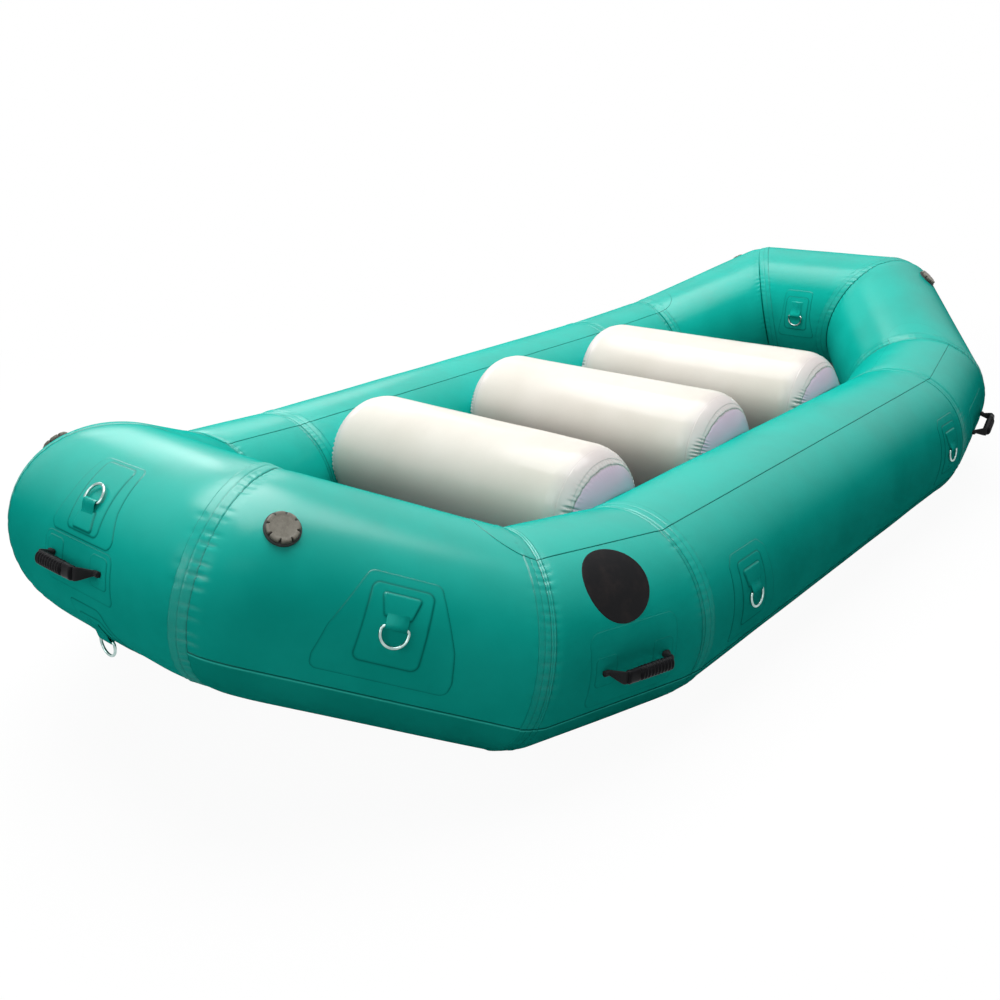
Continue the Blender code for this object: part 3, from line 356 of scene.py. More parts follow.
tube_finish = coated("tube_fabric_finish", (0.007, 0.440, 0.362), (0.004, 0.385, 0.314), 0.42)
strip_finish = coated("strip_fabric_finish", (0.007, 0.445, 0.366), (0.004, 0.390, 0.318), 0.44)
patch_finish = coated("patch_fabric_finish", (0.007, 0.435, 0.358), (0.004, 0.380, 0.310), 0.43)
rub_finish = coated(
    "rub_strip_finish", (0.005, 0.345, 0.280), (0.003, 0.300, 0.242), 0.50, painted_highlight=(0.05, 0.66, 0.55))
webbing_finish = coated("webbing_finish", (0.006, 0.400, 0.330), (0.003, 0.330, 0.270), 0.46, 2.2)
print("fabric finishes made")

# %% [markdown]
# ## The ring of tubes
# The ring is made of twelve straight panels of fabric, glued end to end with mitred seams and then
# blown up. A curve with a round bevel would be the quick way, but it smears the corners, which on
# the real raft are clear creases under a glued tape. So `Joint` knows one mitre, and `Tube` knows
# a place on its skin from the distance along it and the angle round it. Everything that is bonded
# to a tube is later laid on with the same functions, and so follows each crease under it.

# %% Joints between tubes
SEAM_DEEP, HOLLOW_DEEP, GATHER_DEEP, CREASE_DEEP = 1.6 * MM, 2.2 * MM, 2.8 * MM, 1.6 * MM
TAPE_THICK, TAPE_BEAD, GROOVE_DEEP, TAPE_MIDDLE = 1.3 * MM, 0.6 * MM, 0.7 * MM, 0.52
PUCKERS, PUCKER_WAVES, TAPE_GLOSS = 72, 4, 0.36


class Joint:
    """A mitre between two tubes, and the reach of its tape before and after it."""

    def __init__(self, place, before, after, tape, bend, pull, seed):
        self.place, self.tape, self.bend, self.pull = place, tape, bend, pull
        self.normal = unit(before + after)
        self.outward = unit(before - after)
        self.slope = np.linalg.norm(before - after) / np.linalg.norm(before + after)
        self.up = unit(UP - self.normal * self.normal.dot(UP))
        self.side = np.cross(self.normal, self.up)
        rng = np.random.default_rng(seed)
        self.phases = rng.uniform(0, math.tau, 8)
        self.lengths = rng.uniform(0.8, 1.25, 8)

    def angle(self, points):
        rel = points - self.place
        return np.arctan2(rel @ self.up, rel @ self.side)

    def puckers(self, angle):
        """Share from 0 to 1 of how far the fabric gathers at each angle round the seam."""
        total = np.zeros_like(angle)
        for k in range(PUCKER_WAVES):
            turns = round(PUCKERS * self.lengths[k])
            total += np.sin(turns * angle + self.phases[k]) / PUCKER_WAVES
        five, three = np.sin(5 * angle + self.phases[4]), np.sin(3 * angle + self.phases[5])
        return np.clip(total * 1.8, 0, 1) * (0.25 + 0.75 * (0.5 + 0.5 * five * three))

    def relief(self, s, angle, reach):
        """Lift of the skin at a distance from the mitre."""
        gather = self.pull * self.puckers(angle)
        lift = -SEAM_DEEP * dip(s, 2.2 * MM) - HOLLOW_DEEP * dip(s, 24 * MM)
        lift = lift - GATHER_DEEP * gather * dip(s - 8 * MM, 15 * MM)
        if reach:
            crease = self.pull * self.puckers(angle * 0.61 + 1.0)
            lift = lift - CREASE_DEEP * crease * dip(s - reach, 14 * MM)
            lift = lift + TAPE_THICK * smooth((reach + 0.8 * MM - s) / (1.6 * MM))
            lift = lift + TAPE_BEAD * dip(s - reach + 2.5 * MM, 2.0 * MM)
            lift = lift - GROOVE_DEEP * dip(s - reach * TAPE_MIDDLE, 1.6 * MM)
        return lift

    def rounding(self, s, normal):
        """Shift of the skin towards the bend's inner side, which turns the corner into a curve."""
        share = smooth((normal @ self.outward + 0.05) / 0.35)
        depth = self.slope * np.clip(self.bend - s, 0, None) ** 2 / (2 * self.bend)
        return -(depth * share)[..., None] * self.outward

    def lines(self, s, reach):
        """Strength of the glue lines: at the seam, at the tape's edge and along its middle."""
        line = dip(s, 1.3 * MM)
        if reach:
            line = np.maximum(line, 0.75 * dip(s - reach, 1.5 * MM))
            line = np.maximum(line, 0.45 * dip(s - reach * TAPE_MIDDLE, 1.3 * MM))
        return line

    def sheen(self, s, angle, reach):
        """Gloss of the tape and of the gathered fabric beside the seam, most on the upper half."""
        high = smooth((np.sin(angle) + 0.45) / 0.9)
        gathered = self.pull * self.puckers(angle) * dip(s - 10 * MM, 20 * MM)
        taped = TAPE_GLOSS * self.pull * smooth((reach + 1 * MM - s) / (2 * MM)) if reach else 0.0
        return np.clip((gathered + taped) * (0.15 + 0.85 * high), 0, 1)


print("a seam gathers the fabric in", PUCKERS, "puckers")

# %% Tubes
class Tube:
    """One straight tube of the ring, round, with its ends cut at the mitres."""

    def __init__(self, start, end, joints):
        self.start, self.joints = start, joints
        self.length = np.linalg.norm(end - start)
        self.along = unit(end - start)
        self.out = unit(np.cross(self.along, UP))
        self.rise = np.cross(self.out, self.along)
        self.carried = (self.out, self.rise)

    def carry(self, neighbour):
        """Angles that match the neighbour's where the tubes meet."""
        turn = Vector(neighbour.along).rotation_difference(Vector(self.along))
        self.carried = tuple(np.array(turn @ Vector(v)) for v in neighbour.carried)

    def normal(self, angle, carried=False):
        first, second = self.carried if carried else (self.out, self.rise)
        angle = np.asarray(angle, float)[..., None]
        return np.cos(angle) * first + np.sin(angle) * second

    def cut(self, which, angle, carried=False):
        """How far along the mitre at either end cuts the round surface."""
        n = self.joints[which].normal
        start = self.length if which else 0.0
        return start - RADIUS * (self.normal(angle, carried) @ n) / (n @ self.along)

    def at(self, along, angle, lift=0.0, carried=False):
        along = np.asarray(along, float)[..., None]
        lift = np.asarray(lift, float)[..., None]
        return self.start + along * self.along + self.normal(angle, carried) * (RADIUS + lift)

    def seams(self, along, angle, carried=False):
        """Each end's joint, the distance from its mitre, its tape's reach and its angle there."""
        for which, joint in enumerate(self.joints):
            cut = self.cut(which, angle, carried)
            s = (cut - along) if which else (along - cut)
            yield joint, s, joint.tape[1 - which], joint.angle(self.at(cut, angle, 0.0, carried))

    def skin(self, along, angle, carried=False):
        """Lift of the skin and strength of its glue lines at places on the tube."""
        lift, line = swell(self.at(along, angle, 0.0, carried)), 0.0
        for joint, s, reach, seam in self.seams(along, angle, carried):
            lift = lift + joint.relief(s, seam, reach)
            line = np.maximum(line, joint.lines(s, reach))
        return lift, line

    def tape_sheen(self, along, angle):
        """Gloss of both ends' tapes at places on the tube."""
        total = 0.0
        for joint, s, reach, seam in self.seams(along, angle):
            total = np.maximum(total, joint.sheen(s, seam, reach))
        return total

    def bent(self, along, angle, carried=False):
        """Shift of the points near each end that rounds the corners of the ring."""
        total = 0.0
        for joint, s, _, _ in self.seams(along, angle, carried):
            total = total + joint.rounding(s, self.normal(angle, carried))
        return total

    def over(self, along, angle, lift, carried=False):
        """Points on the skin, raised by a lift, with the glue lines under them."""
        base, line = self.skin(along, angle, carried)
        return self.at(along, angle, base + lift, carried) + self.bent(along, angle, carried), line

    def frame(self, along, degrees):
        """A place on the axis, and the ways along the tube, up round its skin and out of it."""
        angle = math.radians(degrees)
        uphill = self.rise * math.cos(angle) - self.out * math.sin(angle)
        return self.start + self.along * along, self.along, uphill, self.normal(angle)


print("a tube knows", ", ".join(key for key in vars(Tube) if not key.startswith("_")))

# %% [markdown]
# ## Swell of the fabric
# No panel is cut quite true, so the tubes' skin is never as even as a turned cylinder, and its
# reflections waver. A Noise texture on a Displace modifier would do that for one mesh. A sum of
# nine slow waves in space does it for every skin alike, so a patch swells with the tube under it.

# %% Swell of the fabric
SWELL_HIGH = 0.16 * MM
swell_rng = np.random.default_rng(7)
swell_waves = [(unit(swell_rng.normal(size=3)) * math.tau / swell_rng.uniform(0.22, 0.5),
                swell_rng.uniform(0, math.tau)) for _ in range(9)]


def swell(points):
    """Slow unevenness of the inflated fabric."""
    total = 0.0
    for direction, phase in swell_waves:
        total = total + np.sin(points @ direction + phase)
    return total * SWELL_HIGH


print(len(swell_waves), "waves of swell")

# %% [markdown]
# ## Joining the ring
# The axis line is laid out once for a quarter of the ring and mirrored. Each bend of it becomes a
# `Joint` with its own tape and pull, because the nose seams turn sharply and gather much, and the
# side seams hardly bend. The kicks and diagonals also carry the sides' angles on round each bend,
# so that a strip can run through without a twist.

# %% Ring
TUBE_NAMES = [
    "bow_nose_tube", "bow_port_diagonal_tube", "bow_port_kick_tube", "port_side_tube",
    "stern_port_kick_tube", "stern_port_diagonal_tube", "stern_nose_tube",
    "stern_starboard_diagonal_tube", "stern_starboard_kick_tube", "starboard_side_tube",
    "bow_starboard_kick_tube", "bow_starboard_diagonal_tube",
]
NOSE_TAPE, BEND_TAPE, SIDE_TAPE = (0.046, 0.0), (0.033, 0.012), (0.012, 0.040)
TAPES = 2 * [NOSE_TAPE[::-1], NOSE_TAPE, BEND_TAPE, SIDE_TAPE, SIDE_TAPE[::-1], BEND_TAPE[::-1]]
BENDS = [0.130, 0.130, 0.040, 0.030, 0.030, 0.040, 0.070, 0.070, 0.040, 0.030, 0.030, 0.040]
PULLS = [1.25, 1.25, 0.6, 0.4, 0.4, 0.6, 0.8, 0.8, 0.6, 0.4, 0.4, 0.6]
quarter = [
    (NOSE_END_X, NOSE_Y, SIDE_Z + NOSE_RISE), (KICK_END_X, KICK_END_Y, SIDE_Z + KICK_RISE),
    (SIDE_X, SIDE_END_Y, SIDE_Z),
]
port_line = [(x, -y, z) for x, y, z in quarter] + quarter[::-1]
starboard_line = [(-x, y, z) for x, y, z in port_line[::-1]]
corner_points = np.array(starboard_line[-1:] + port_line + starboard_line[:-1])
next_points = np.roll(corner_points, -1, 0)
ways = [unit(end - start) for start, end in zip(corner_points, next_points)]
joints = [Joint(corner_points[i], ways[i - 1], ways[i], TAPES[i], BENDS[i], PULLS[i], i)
          for i in range(len(TUBE_NAMES))]
tubes = {}
for i, name in enumerate(TUBE_NAMES):
    tubes[name] = Tube(corner_points[i], next_points[i], (joints[i], joints[(i + 1) % 12]))
for side in ("port", "starboard"):
    for end in ("bow", "stern"):
        kick = tubes[f"{end}_{side}_kick_tube"]
        kick.carry(tubes[f"{side}_side_tube"])
        tubes[f"{end}_{side}_diagonal_tube"].carry(kick)
print("ring of", len(tubes), "tubes")

# %% [markdown]
# ## Skins of the tubes
# Each real panel is flat fabric that air pulls round, so it is smooth in the middle and gathers
# only beside its seams. A skin of even quads would spend its points in the wrong place. Here the
# rows lie close together near the mitres and follow them, and wide apart in the middle, so that
# tapes, creases and puckers are real relief. A short flange closes each end inside the seam.

# %% Skins of the tubes
BASE_ROWS = [0, 0.7, 1.6, 3, 5, 7.5, 10.5, 14, 18, 22, 27, 32, 38, 45, 53, 62, 72]
TAPE_ROWS, GROOVE_ROWS, LEAST_ROW = (-2.4, -1.2, 0, 1.2, 2.4), (-2, -1, 0, 1, 2), 0.45 * MM


def seam_rows(reach):
    """Distances of the rows beside a mitre, closer at the tape's edge and middle."""
    rows = [s * MM for s in BASE_ROWS]
    if reach:
        rows += [reach + d * MM for d in TAPE_ROWS]
        rows += [reach * TAPE_MIDDLE + d * MM for d in GROOVE_ROWS]
    rows = sorted(rows)
    kept = rows[:1]
    for s in rows[1:]:
        if s - kept[-1] > LEAST_ROW:
            kept.append(s)
    return kept


def tube_rows(tube, angle, carried=False, pitch=0.022):
    """Distances along the tube of rows that follow the mitre at each end."""
    first, last = tube.cut(0, angle, carried), tube.cut(1, angle, carried)
    low, high = seam_rows(tube.joints[0].tape[1]), seam_rows(tube.joints[1].tape[0])
    count = int((tube.length - low[-1] - high[-1]) / pitch)
    rows = [first + s for s in low]
    for t in np.linspace(0, 1, count + 2)[1:-1]:
        rows.append((first + low[-1]) * (1 - t) + (last - high[-1]) * t)
    return np.array(rows + [last - s for s in high[::-1]])


def doubled(rows):
    """The rows with the first and the last repeated, for the flange in each seam."""
    return np.concatenate([rows[:1], rows, rows[-1:]])


FLANGE, LEAST_HEIGHT = 12 * MM, 1.8 * MM
round_angles = np.arange(COLUMNS) / COLUMNS * math.tau
for name, tube in tubes.items():
    along = tube_rows(tube, round_angles)
    span = np.broadcast_to(round_angles, along.shape)
    (lift, line), bent = tube.skin(along, span), tube.bent(along, span)
    points = tube.at(along, round_angles, lift) + bent
    points[..., 2] = np.maximum(points[..., 2], LEAST_HEIGHT)
    first, last = (tube.at(along[i], round_angles, lift[i] - FLANGE) + bent[i] for i in (0, -1))
    points = np.concatenate([first[None], points, last[None]])
    u = doubled(along)
    u = np.concatenate([u, u[:, :1]], 1)
    uv = np.stack([u, np.broadcast_to(np.append(round_angles, math.tau) * RADIUS, u.shape)], -1)
    mesh = grid_mesh(name + "_skin", points, uv, closed=True, line=doubled(line),
                     tape=doubled(tube.tape_sheen(along, span)))
    add_piece(name + "_skin", mesh, tube_finish, "hull", [name])
print("tube skins laid")

# %% [markdown]
# ## Wear strips
# Crews sit and drag on the top of each side, so a second layer of fabric is bonded there over five
# tubes, with a round tongue at each end. A darker rubbing strip guards each side against rocks,
# with a painted highlight along its upper edge.
# They could be cut from the tube's mesh with a Boolean, which leaves ragged edges. A grid of their
# own, laid on the skin with `Tube.over`, keeps its rows along the strip and its edges clean.

# %% Wear strips
def run_of(side):
    ends = ("bow", "stern") if side == "port" else ("stern", "bow")
    names = [f"{ends[0]}_{side}_diagonal_tube", f"{ends[0]}_{side}_kick_tube", f"{side}_side_tube",
             f"{ends[1]}_{side}_kick_tube", f"{ends[1]}_{side}_diagonal_tube"]
    return [tubes[name] for name in names]


STRIP_ROWS = np.array([0, 0.8, 1.6, 2.4, 3.2, 4.2, 5.6, 7.5, 10, 14, 20, 28]) * MM / RADIUS
STRIP_PITCH = 0.009


def strip_columns(low, high):
    """Angles across a strip, close together by both edges."""
    half = (high - low) / 2
    count = int((half - STRIP_ROWS[-1]) * RADIUS / STRIP_PITCH) + 2
    edge = np.concatenate([STRIP_ROWS, np.linspace(STRIP_ROWS[-1], half, count)[1:]])
    return np.concatenate([low + edge, (high - edge[:-1])[::-1]])


def strip_mesh(name, run, angles, rows, shade=0.0, thickness=STRIP):
    """rows holds, for each tube of the run, the distances along it and the edge distances."""
    points, lines, uvs, edges = [], [], [], []
    passed = 0.0
    for tube, (along, depth) in zip(run, rows):
        span = np.broadcast_to(angles, along.shape)
        rise = smooth((depth + 0.2 * MM) / (2.2 * MM))
        made, line = tube.over(along, span, -0.5 * MM + (thickness + 0.5 * MM) * rise, True)
        made[..., 2] = np.maximum(made[..., 2], 0.2 * MM)
        points.append(made)
        lines.append(np.maximum(0.5 * line, dip(depth - 1.0 * MM, 1.5 * MM)))
        # Painted highlight: a light line 5.5 mm in from the edges, as strong as the share given for
        # each column.
        edges.append(shade * dip(depth - 5.5 * MM, 2.2 * MM))
        uvs.append(np.stack([along + passed, span * RADIUS], -1))
        passed += tube.length
    return grid_mesh(
        name, np.concatenate(points), np.concatenate(uvs), line=np.concatenate(lines),
        shade=np.concatenate(edges))


print("a run over one side:", len(run_of("port")), "tubes")

# %% Top and rub strips
TONGUE_STRAIGHT, TONGUE_ROUND = 0.012, 0.098
TONGUE_ROWS = [0, 0.01, 0.02, 0.03, 0.045, 0.065, 0.09, 0.13]
TONGUE_STEPS = np.concatenate([TONGUE_ROWS, np.linspace(0.19, 1, 12)])[:, None]
TOP_MIDDLE, TOP_HALF = math.radians(90), math.radians(25)
RUB_LOW, RUB_HIGH, RUB_STRIP = math.radians(-115), math.radians(-27), 2.0 * MM


def top_strip(side):
    angles = strip_columns(TOP_MIDDLE - TOP_HALF, TOP_MIDDLE + TOP_HALF)
    border = (TOP_HALF - np.abs(angles - TOP_MIDDLE)) * RADIUS
    round_end = np.sqrt(np.clip(1 - ((angles - TOP_MIDDLE) / TOP_HALF) ** 2, 0, 1))
    reach = TONGUE_STRAIGHT + TONGUE_ROUND * round_end
    run, rows = run_of(side), []
    for i, tube in enumerate(run):
        if i in (0, 4):
            which, way, share = (1, -1, TONGUE_STEPS) if i == 0 else (0, 1, TONGUE_STEPS[::-1])
            along = tube.cut(which, angles, True) + way * reach * (1 - share)
            depth = np.minimum(border, share * reach)
        else:
            along = tube_rows(tube, angles, True)
            depth = np.broadcast_to(border, along.shape)
        rows.append((along, depth))
    return strip_mesh(f"{side}_top_strip", run, angles, rows)


def bottom_strip(side):
    angles = strip_columns(RUB_LOW, RUB_HIGH)
    border = np.minimum(angles - RUB_LOW, RUB_HIGH - angles) * RADIUS
    rows = []
    for tube in run_of(side):
        along = tube_rows(tube, angles, True)
        rows.append((along, np.broadcast_to(border, along.shape)))
    # Share of the painted highlight line: near 1 by the upper edge and none by the lower edge.
    upper = dip((RUB_HIGH - angles) * RADIUS - 5.5 * MM, 40 * MM)
    return strip_mesh(f"{side}_rub_strip", run_of(side), angles, rows, upper, RUB_STRIP)


for side in ("port", "starboard"):
    add_piece(f"{side}_top_strip", top_strip(side), strip_finish, "hull",
              [f"{side}_top_wear_strip"])
    add_piece(f"{side}_rub_strip", bottom_strip(side), rub_finish, "hull",
              [f"{side}_bottom_wear_strip"])
print("wear strips laid")

# %% [markdown]
# ## Bonded patches
# Every fitting on a raft is sewn or moulded to a patch, and the patch is glued to the tube, often
# in two or three layers. A patch could be a flat sheet wrapped on with a Shrinkwrap modifier, but
# then its edges have no thickness. Here a fine grid lies on the skin, and its height comes from
# how deep each point lies inside the rounded outline of each layer. Points near an edge are moved
# onto it, so that the step from layer to layer stays clean close up.

# %% Patch outlines
def house(*marks):
    """Outline of a symmetric patch from (height, half width) marks, the lowest first."""
    return [(half, q) for q, half in marks] + [(-half, q) for q, half in marks[::-1]]


def drawn_in(outline, corner):
    points = np.array(outline, float)
    away = np.roll(points, -1, 0) - points
    away /= np.linalg.norm(away, axis=1)[:, None]
    moved = points + np.stack([-away[:, 1], away[:, 0]], 1) * corner
    found = []
    for i in range(len(points)):
        rows = np.array([away[i - 1], -away[i]]).T
        found.append(moved[i - 1] + away[i - 1] * np.linalg.solve(rows, moved[i] - moved[i - 1])[0])
    return np.array(found)


def depth_in(p, q, outline, corner):
    """Depth inside a convex outline with rounded corners, and less than 0 outside it."""
    points = drawn_in(outline, corner)
    best, inside = np.full(p.shape, 1e9), np.full(p.shape, True)
    for a, b in zip(points, np.roll(points, -1, 0)):
        d = b - a
        x, y = p - a[0], q - a[1]
        t = np.clip((x * d[0] + y * d[1]) / d.dot(d), 0, 1)
        best = np.minimum(best, np.hypot(x - t * d[0], y - t * d[1]))
        inside &= d[0] * y - d[1] * x >= 0
    return corner - np.where(inside, -best, best)


print("outlines ready")

# %% Patches on the skin
EDGE_FOOT, EDGE_BROW = -1.2 * MM, 1.4 * MM
SUNK, SKIRT = 0.7 * MM, -3.4 * MM


def snapped(p, q, outline, corner, cell):
    """The grid with its points near the foot or the brow of a layer's edge moved onto it."""
    depth, step = depth_in(p, q, outline, corner), 0.1 * MM
    slope_p = (depth_in(p + step, q, outline, corner) - depth) / step
    slope_q = (depth_in(p, q + step, outline, corner) - depth) / step
    steep = np.maximum(slope_p ** 2 + slope_q ** 2, 0.5)
    for level in (EDGE_FOOT, EDGE_BROW):
        off = level - depth
        move = np.where(np.abs(off) < 0.48 * cell, off, 0.0) / steep
        p, q = p + move * slope_p, q + move * slope_q
    return p, q


def relief(name, tube, along, degrees, layers, cell=2.4 * MM):
    """A patch of layers (outline, corner radius, thickness, line strength) on the skin."""
    outer = np.array(layers[0][0])
    reach = np.abs(outer[:, 0]).max() + 4 * MM
    low, high = outer[:, 1].min() - 4 * MM, outer[:, 1].max() + 4 * MM
    p = np.linspace(-reach, reach, int(2 * reach / cell) + 1)
    q = np.linspace(low, high, int((high - low) / cell) + 1)
    p, q = np.meshgrid(p, q, indexing="ij")
    for outline, corner, _, _ in layers:
        p, q = snapped(p, q, outline, corner, cell)
    lift, line, keep = np.full(p.shape, -SUNK), np.zeros(p.shape), None
    for outline, corner, thickness, strength in layers:
        depth = depth_in(p, q, outline, corner)
        extra, wide = (SUNK, 3.6 * MM) if keep is None else (0.0, 2.2 * MM)
        keep = depth > SKIRT if keep is None else keep
        lift += (thickness + extra) * smooth((depth - EDGE_FOOT) / (EDGE_BROW - EDGE_FOOT))
        line = np.maximum(line, min(1.0, 1.25 * strength) * dip(depth - EDGE_FOOT, wide))
    angle = math.radians(degrees) + q / RADIUS
    points, under = tube.over(along + p, angle, lift)
    uv = np.stack([along + p, angle * RADIUS], -1)
    return grid_mesh(name, points, uv, keep=keep, line=np.maximum(line, under * 0.4))


print("patches lie on the skin from", EDGE_FOOT / MM, "to", EDGE_BROW / MM, "mm at their edges")

# %% [markdown]
# ## Geometry node tools
# Geometry Nodes turn a few points into a finished shape by a rule, and the rule's sizes can be
# changed on the modifier. That suits a rod that follows a path, or an eyelet that is set many
# times. The group is built in code, given its sizes by name, and ends in real geometry with its
# material on, because the export takes plain meshes only.

# %% Geometry node tools
class Group(Tree):
    """A geometry node group with named sizes, which makes a plain mesh of bare points."""

    def __init__(self, name, sizes):
        super().__init__(bpy.data.node_groups.new(name, "GeometryNodeTree"))
        new = self.data.interface.new_socket
        for way in ("OUTPUT", "INPUT"):
            new("Geometry", in_out=way, socket_type="NodeSocketGeometry")
        self.sizes = {}
        for key, size in sizes.items():
            kind = "NodeSocketInt" if isinstance(size, int) else "NodeSocketFloat"
            self.sizes[new(key, in_out="INPUT", socket_type=kind).identifier] = size
        self.start = self.node("NodeGroupInput")

    def size(self, key):
        return Value(self, self.start.socket.node.outputs[key])

    def circle(self, radius, sides):
        sockets = {"Radius": self.size(radius), "Resolution": self.size(sides)}
        return self.node("GeometryNodeCurvePrimitiveCircle", sockets=sockets)

    def sweep(self, path, section):
        sockets = {"Curve": path, "Profile Curve": section}
        return self.node("GeometryNodeCurveToMesh", sockets=sockets)

    def close(self, shape, material):
        """Ends the group with real geometry that wears a material."""
        real = self.node("GeometryNodeRealizeInstances", sockets={0: shape})
        dressed = self.node("GeometryNodeSetMaterial", sockets={0: real, "Material": material})
        self.node("NodeGroupOutput", sockets={0: dressed})
        return self

    def run(self, name, points, edges=()):
        """The group's result on a mesh of bare points and edges, as a plain mesh."""
        bare = bpy.data.meshes.new(name)
        bare.from_pydata([tuple(p) for p in points], list(edges), [])
        holder = bpy.data.objects.new(name, bare)
        bpy.context.scene.collection.objects.link(holder)
        modifier = holder.modifiers.new("nodes", "NODES")
        modifier.node_group = self.data
        for identifier, size in self.sizes.items():
            modifier[identifier] = size
        graph = bpy.context.evaluated_depsgraph_get()
        mesh = bpy.data.meshes.new_from_object(holder.evaluated_get(graph))
        bpy.data.objects.remove(holder, do_unlink=True)
        mesh.shade_smooth()
        return mesh


print("geometry node tools ready")

# %% [markdown]
# ## Steel and the rings' wire
# A D-ring is a round steel rod, bent and welded, and polished by the straps that rub in it. It
# could be a Bezier curve with a bevel. The outline is worked out as points here, so that the bar
# lies exactly where the packed ring turns, and geometry nodes sweep a circle along it. One wire
# serves all nine rings.

# %% Steel
def steel(name):
    f = Finish(name)
    where = f.place()
    marks = f.noise(where, 420.0, 3.0, 0.7)
    haze = f.noise(where, 60.0, 2.0, 0.5)
    f.bump(marks, 0.02 * MM)
    colour = f.mix(haze.above(0.3, 0.75), (0.30, 0.42, 0.40), (0.46, 0.60, 0.57))
    return f.set(Base_Color=colour, Metallic=1.0, Roughness=haze * 0.16 + 0.06)


steel_finish = steel("ring_steel_finish")
print("steel finish made")

# %% Ring wire
WIRE, RING_HALF, RING_LEG, RING_BEND = 0.0035, 0.030, 0.012, 0.0075


def wire_group():
    group = Group("round_wire", {"Wire radius": WIRE, "Sides": 16})
    path = group.node("GeometryNodeMeshToCurve", sockets={"Mesh": group.start})
    return group.close(group.sweep(path, group.circle("Wire radius", "Sides")), steel_finish)


def arc_points(x, y, radius, first, last, count):
    """Points of an arc from the first to the last angle in degrees."""
    turns = np.linspace(math.radians(first), math.radians(last), count)
    return [(x + radius * math.cos(a), y + radius * math.sin(a), 0) for a in turns]


def ring_outline():
    """The bar on local X with bent corners, two short legs and the bow of the D."""
    corner = RING_HALF - RING_BEND
    bar = [(x, 0, 0) for x in np.linspace(-corner, corner, 12)]
    right = arc_points(corner, -RING_BEND, RING_BEND, 90, 0, 7)[1:]
    left = arc_points(-corner, -RING_BEND, RING_BEND, 180, 90, 7)[:-1]
    return bar + right + arc_points(0, -RING_LEG, RING_HALF, 0, -180, 33) + left


outline = ring_outline()
loop_edges = [(i, (i + 1) % len(outline)) for i in range(len(outline))]
ring_wire = wire_group().run("ring_wire", outline, loop_edges)
print("ring wire:", len(ring_wire.polygons), "faces")

# %% [markdown]
# ## Webbing of the rings
# A wide webbing is folded round the bar of each ring and welded flat to the patch. Cloth simulation
# would find the fold, but slowly and never twice the same. The fold is always the same loop, so a
# flat section is carried along a path that is worked out in the plane across the bar: up from the
# patch, round the rod and back down on the patch.

# %% Webbing
BAR, RING_PATCH = WIRE + FABRIC_GAP, 0.0016
WEB, WEB_HALF, WEB_EDGE, WEB_SEAT = 0.0020, 0.024, 0.0007, 2.3 * MM
BAR_HEIGHT = FABRIC_GAP + RING_PATCH + BAR + WEB
web_right = [(WEB_HALF - WEB_EDGE, -WEB / 2), (WEB_HALF, -WEB / 2 + WEB_EDGE),
             (WEB_HALF, WEB / 2 - WEB_EDGE), (WEB_HALF - WEB_EDGE, WEB / 2)]
web_left = [(-x, z) for x, z in web_right]
WEB_SECTION = np.array(web_left[:1] + web_right + web_left[:0:-1])


def webbing_path(tube, along, degrees, hang, reach):
    """The webbing's middle line in the plane across the bar, whose centre is at 0, 0."""
    loop = BAR + WEB / 2

    def on_patch(away, lift):
        turn = away / RADIUS
        angle = np.array(math.radians(degrees) + hang * turn)
        out = RADIUS + lift + tube.skin(np.array(along), angle)[0]
        return out * math.sin(turn), out * math.cos(turn) - RADIUS - BAR_HEIGHT

    path = [on_patch(a, WEB_SEAT + WEB * 0.5) for a in (0.030, 0.022, 0.014)]
    path += [(x, y) for x, y, _ in arc_points(0, 0, loop, -90, -270, 19)]
    rise = loop - WEB - on_patch(0.0, WEB_SEAT + WEB * 0.5)[1]
    for a in (0.004, 0.008, 0.013, 0.019, 0.026, 0.034):
        share = smooth(a / 0.034)
        x, y = on_patch(a, WEB_SEAT + WEB * (1.5 - 0.6 * share))
        path.append((x, y + rise * (1 - share) ** 1.6))
    path += [on_patch(a, WEB_SEAT + WEB * 0.9) for a in np.linspace(0.037, reach, 6)]
    return np.array(path + [on_patch(reach + 0.0015, WEB_SEAT - WEB)], float)


def webbing_mesh(name, tube, along, degrees, hang, reach):
    """Webbing from the patch round the ring's bar and back under itself."""
    axis, across, uphill, normal = tube.frame(along, degrees)
    path = webbing_path(tube, along, degrees, hang, reach)
    slope = np.gradient(path, axis=0)
    slope /= np.linalg.norm(slope, axis=1)[:, None]
    side = np.stack([-slope[:, 1], slope[:, 0]], 1)
    here = path[:, None] + side[:, None] * WEB_SECTION[:, 1:]
    flat = WEB_SECTION[:, :1] * across + here[..., :1] * uphill * hang + here[..., 1:] * normal
    mesh = skinned(name, axis + normal * (RADIUS + BAR_HEIGHT) + flat)
    flat = flat.reshape(-1, 3)
    unwrap(mesh, np.stack([flat @ across, flat @ uphill * hang], 1))
    mark(mesh, line=np.zeros(len(flat)))
    return mesh


print("bars stand", round(BAR_HEIGHT, 4), "off the tubes")

# %% [markdown]
# ## Ring patches
# The patches differ with their place: long house shapes on the diagonals and sides, where the pull
# is upwards, and small ones under the bow and inside the stern. Nine separate drawings would be
# much to keep in step. A table lists each ring's tube, its place and its layers, and one loop makes
# a patch, a webbing and a wire from each row.

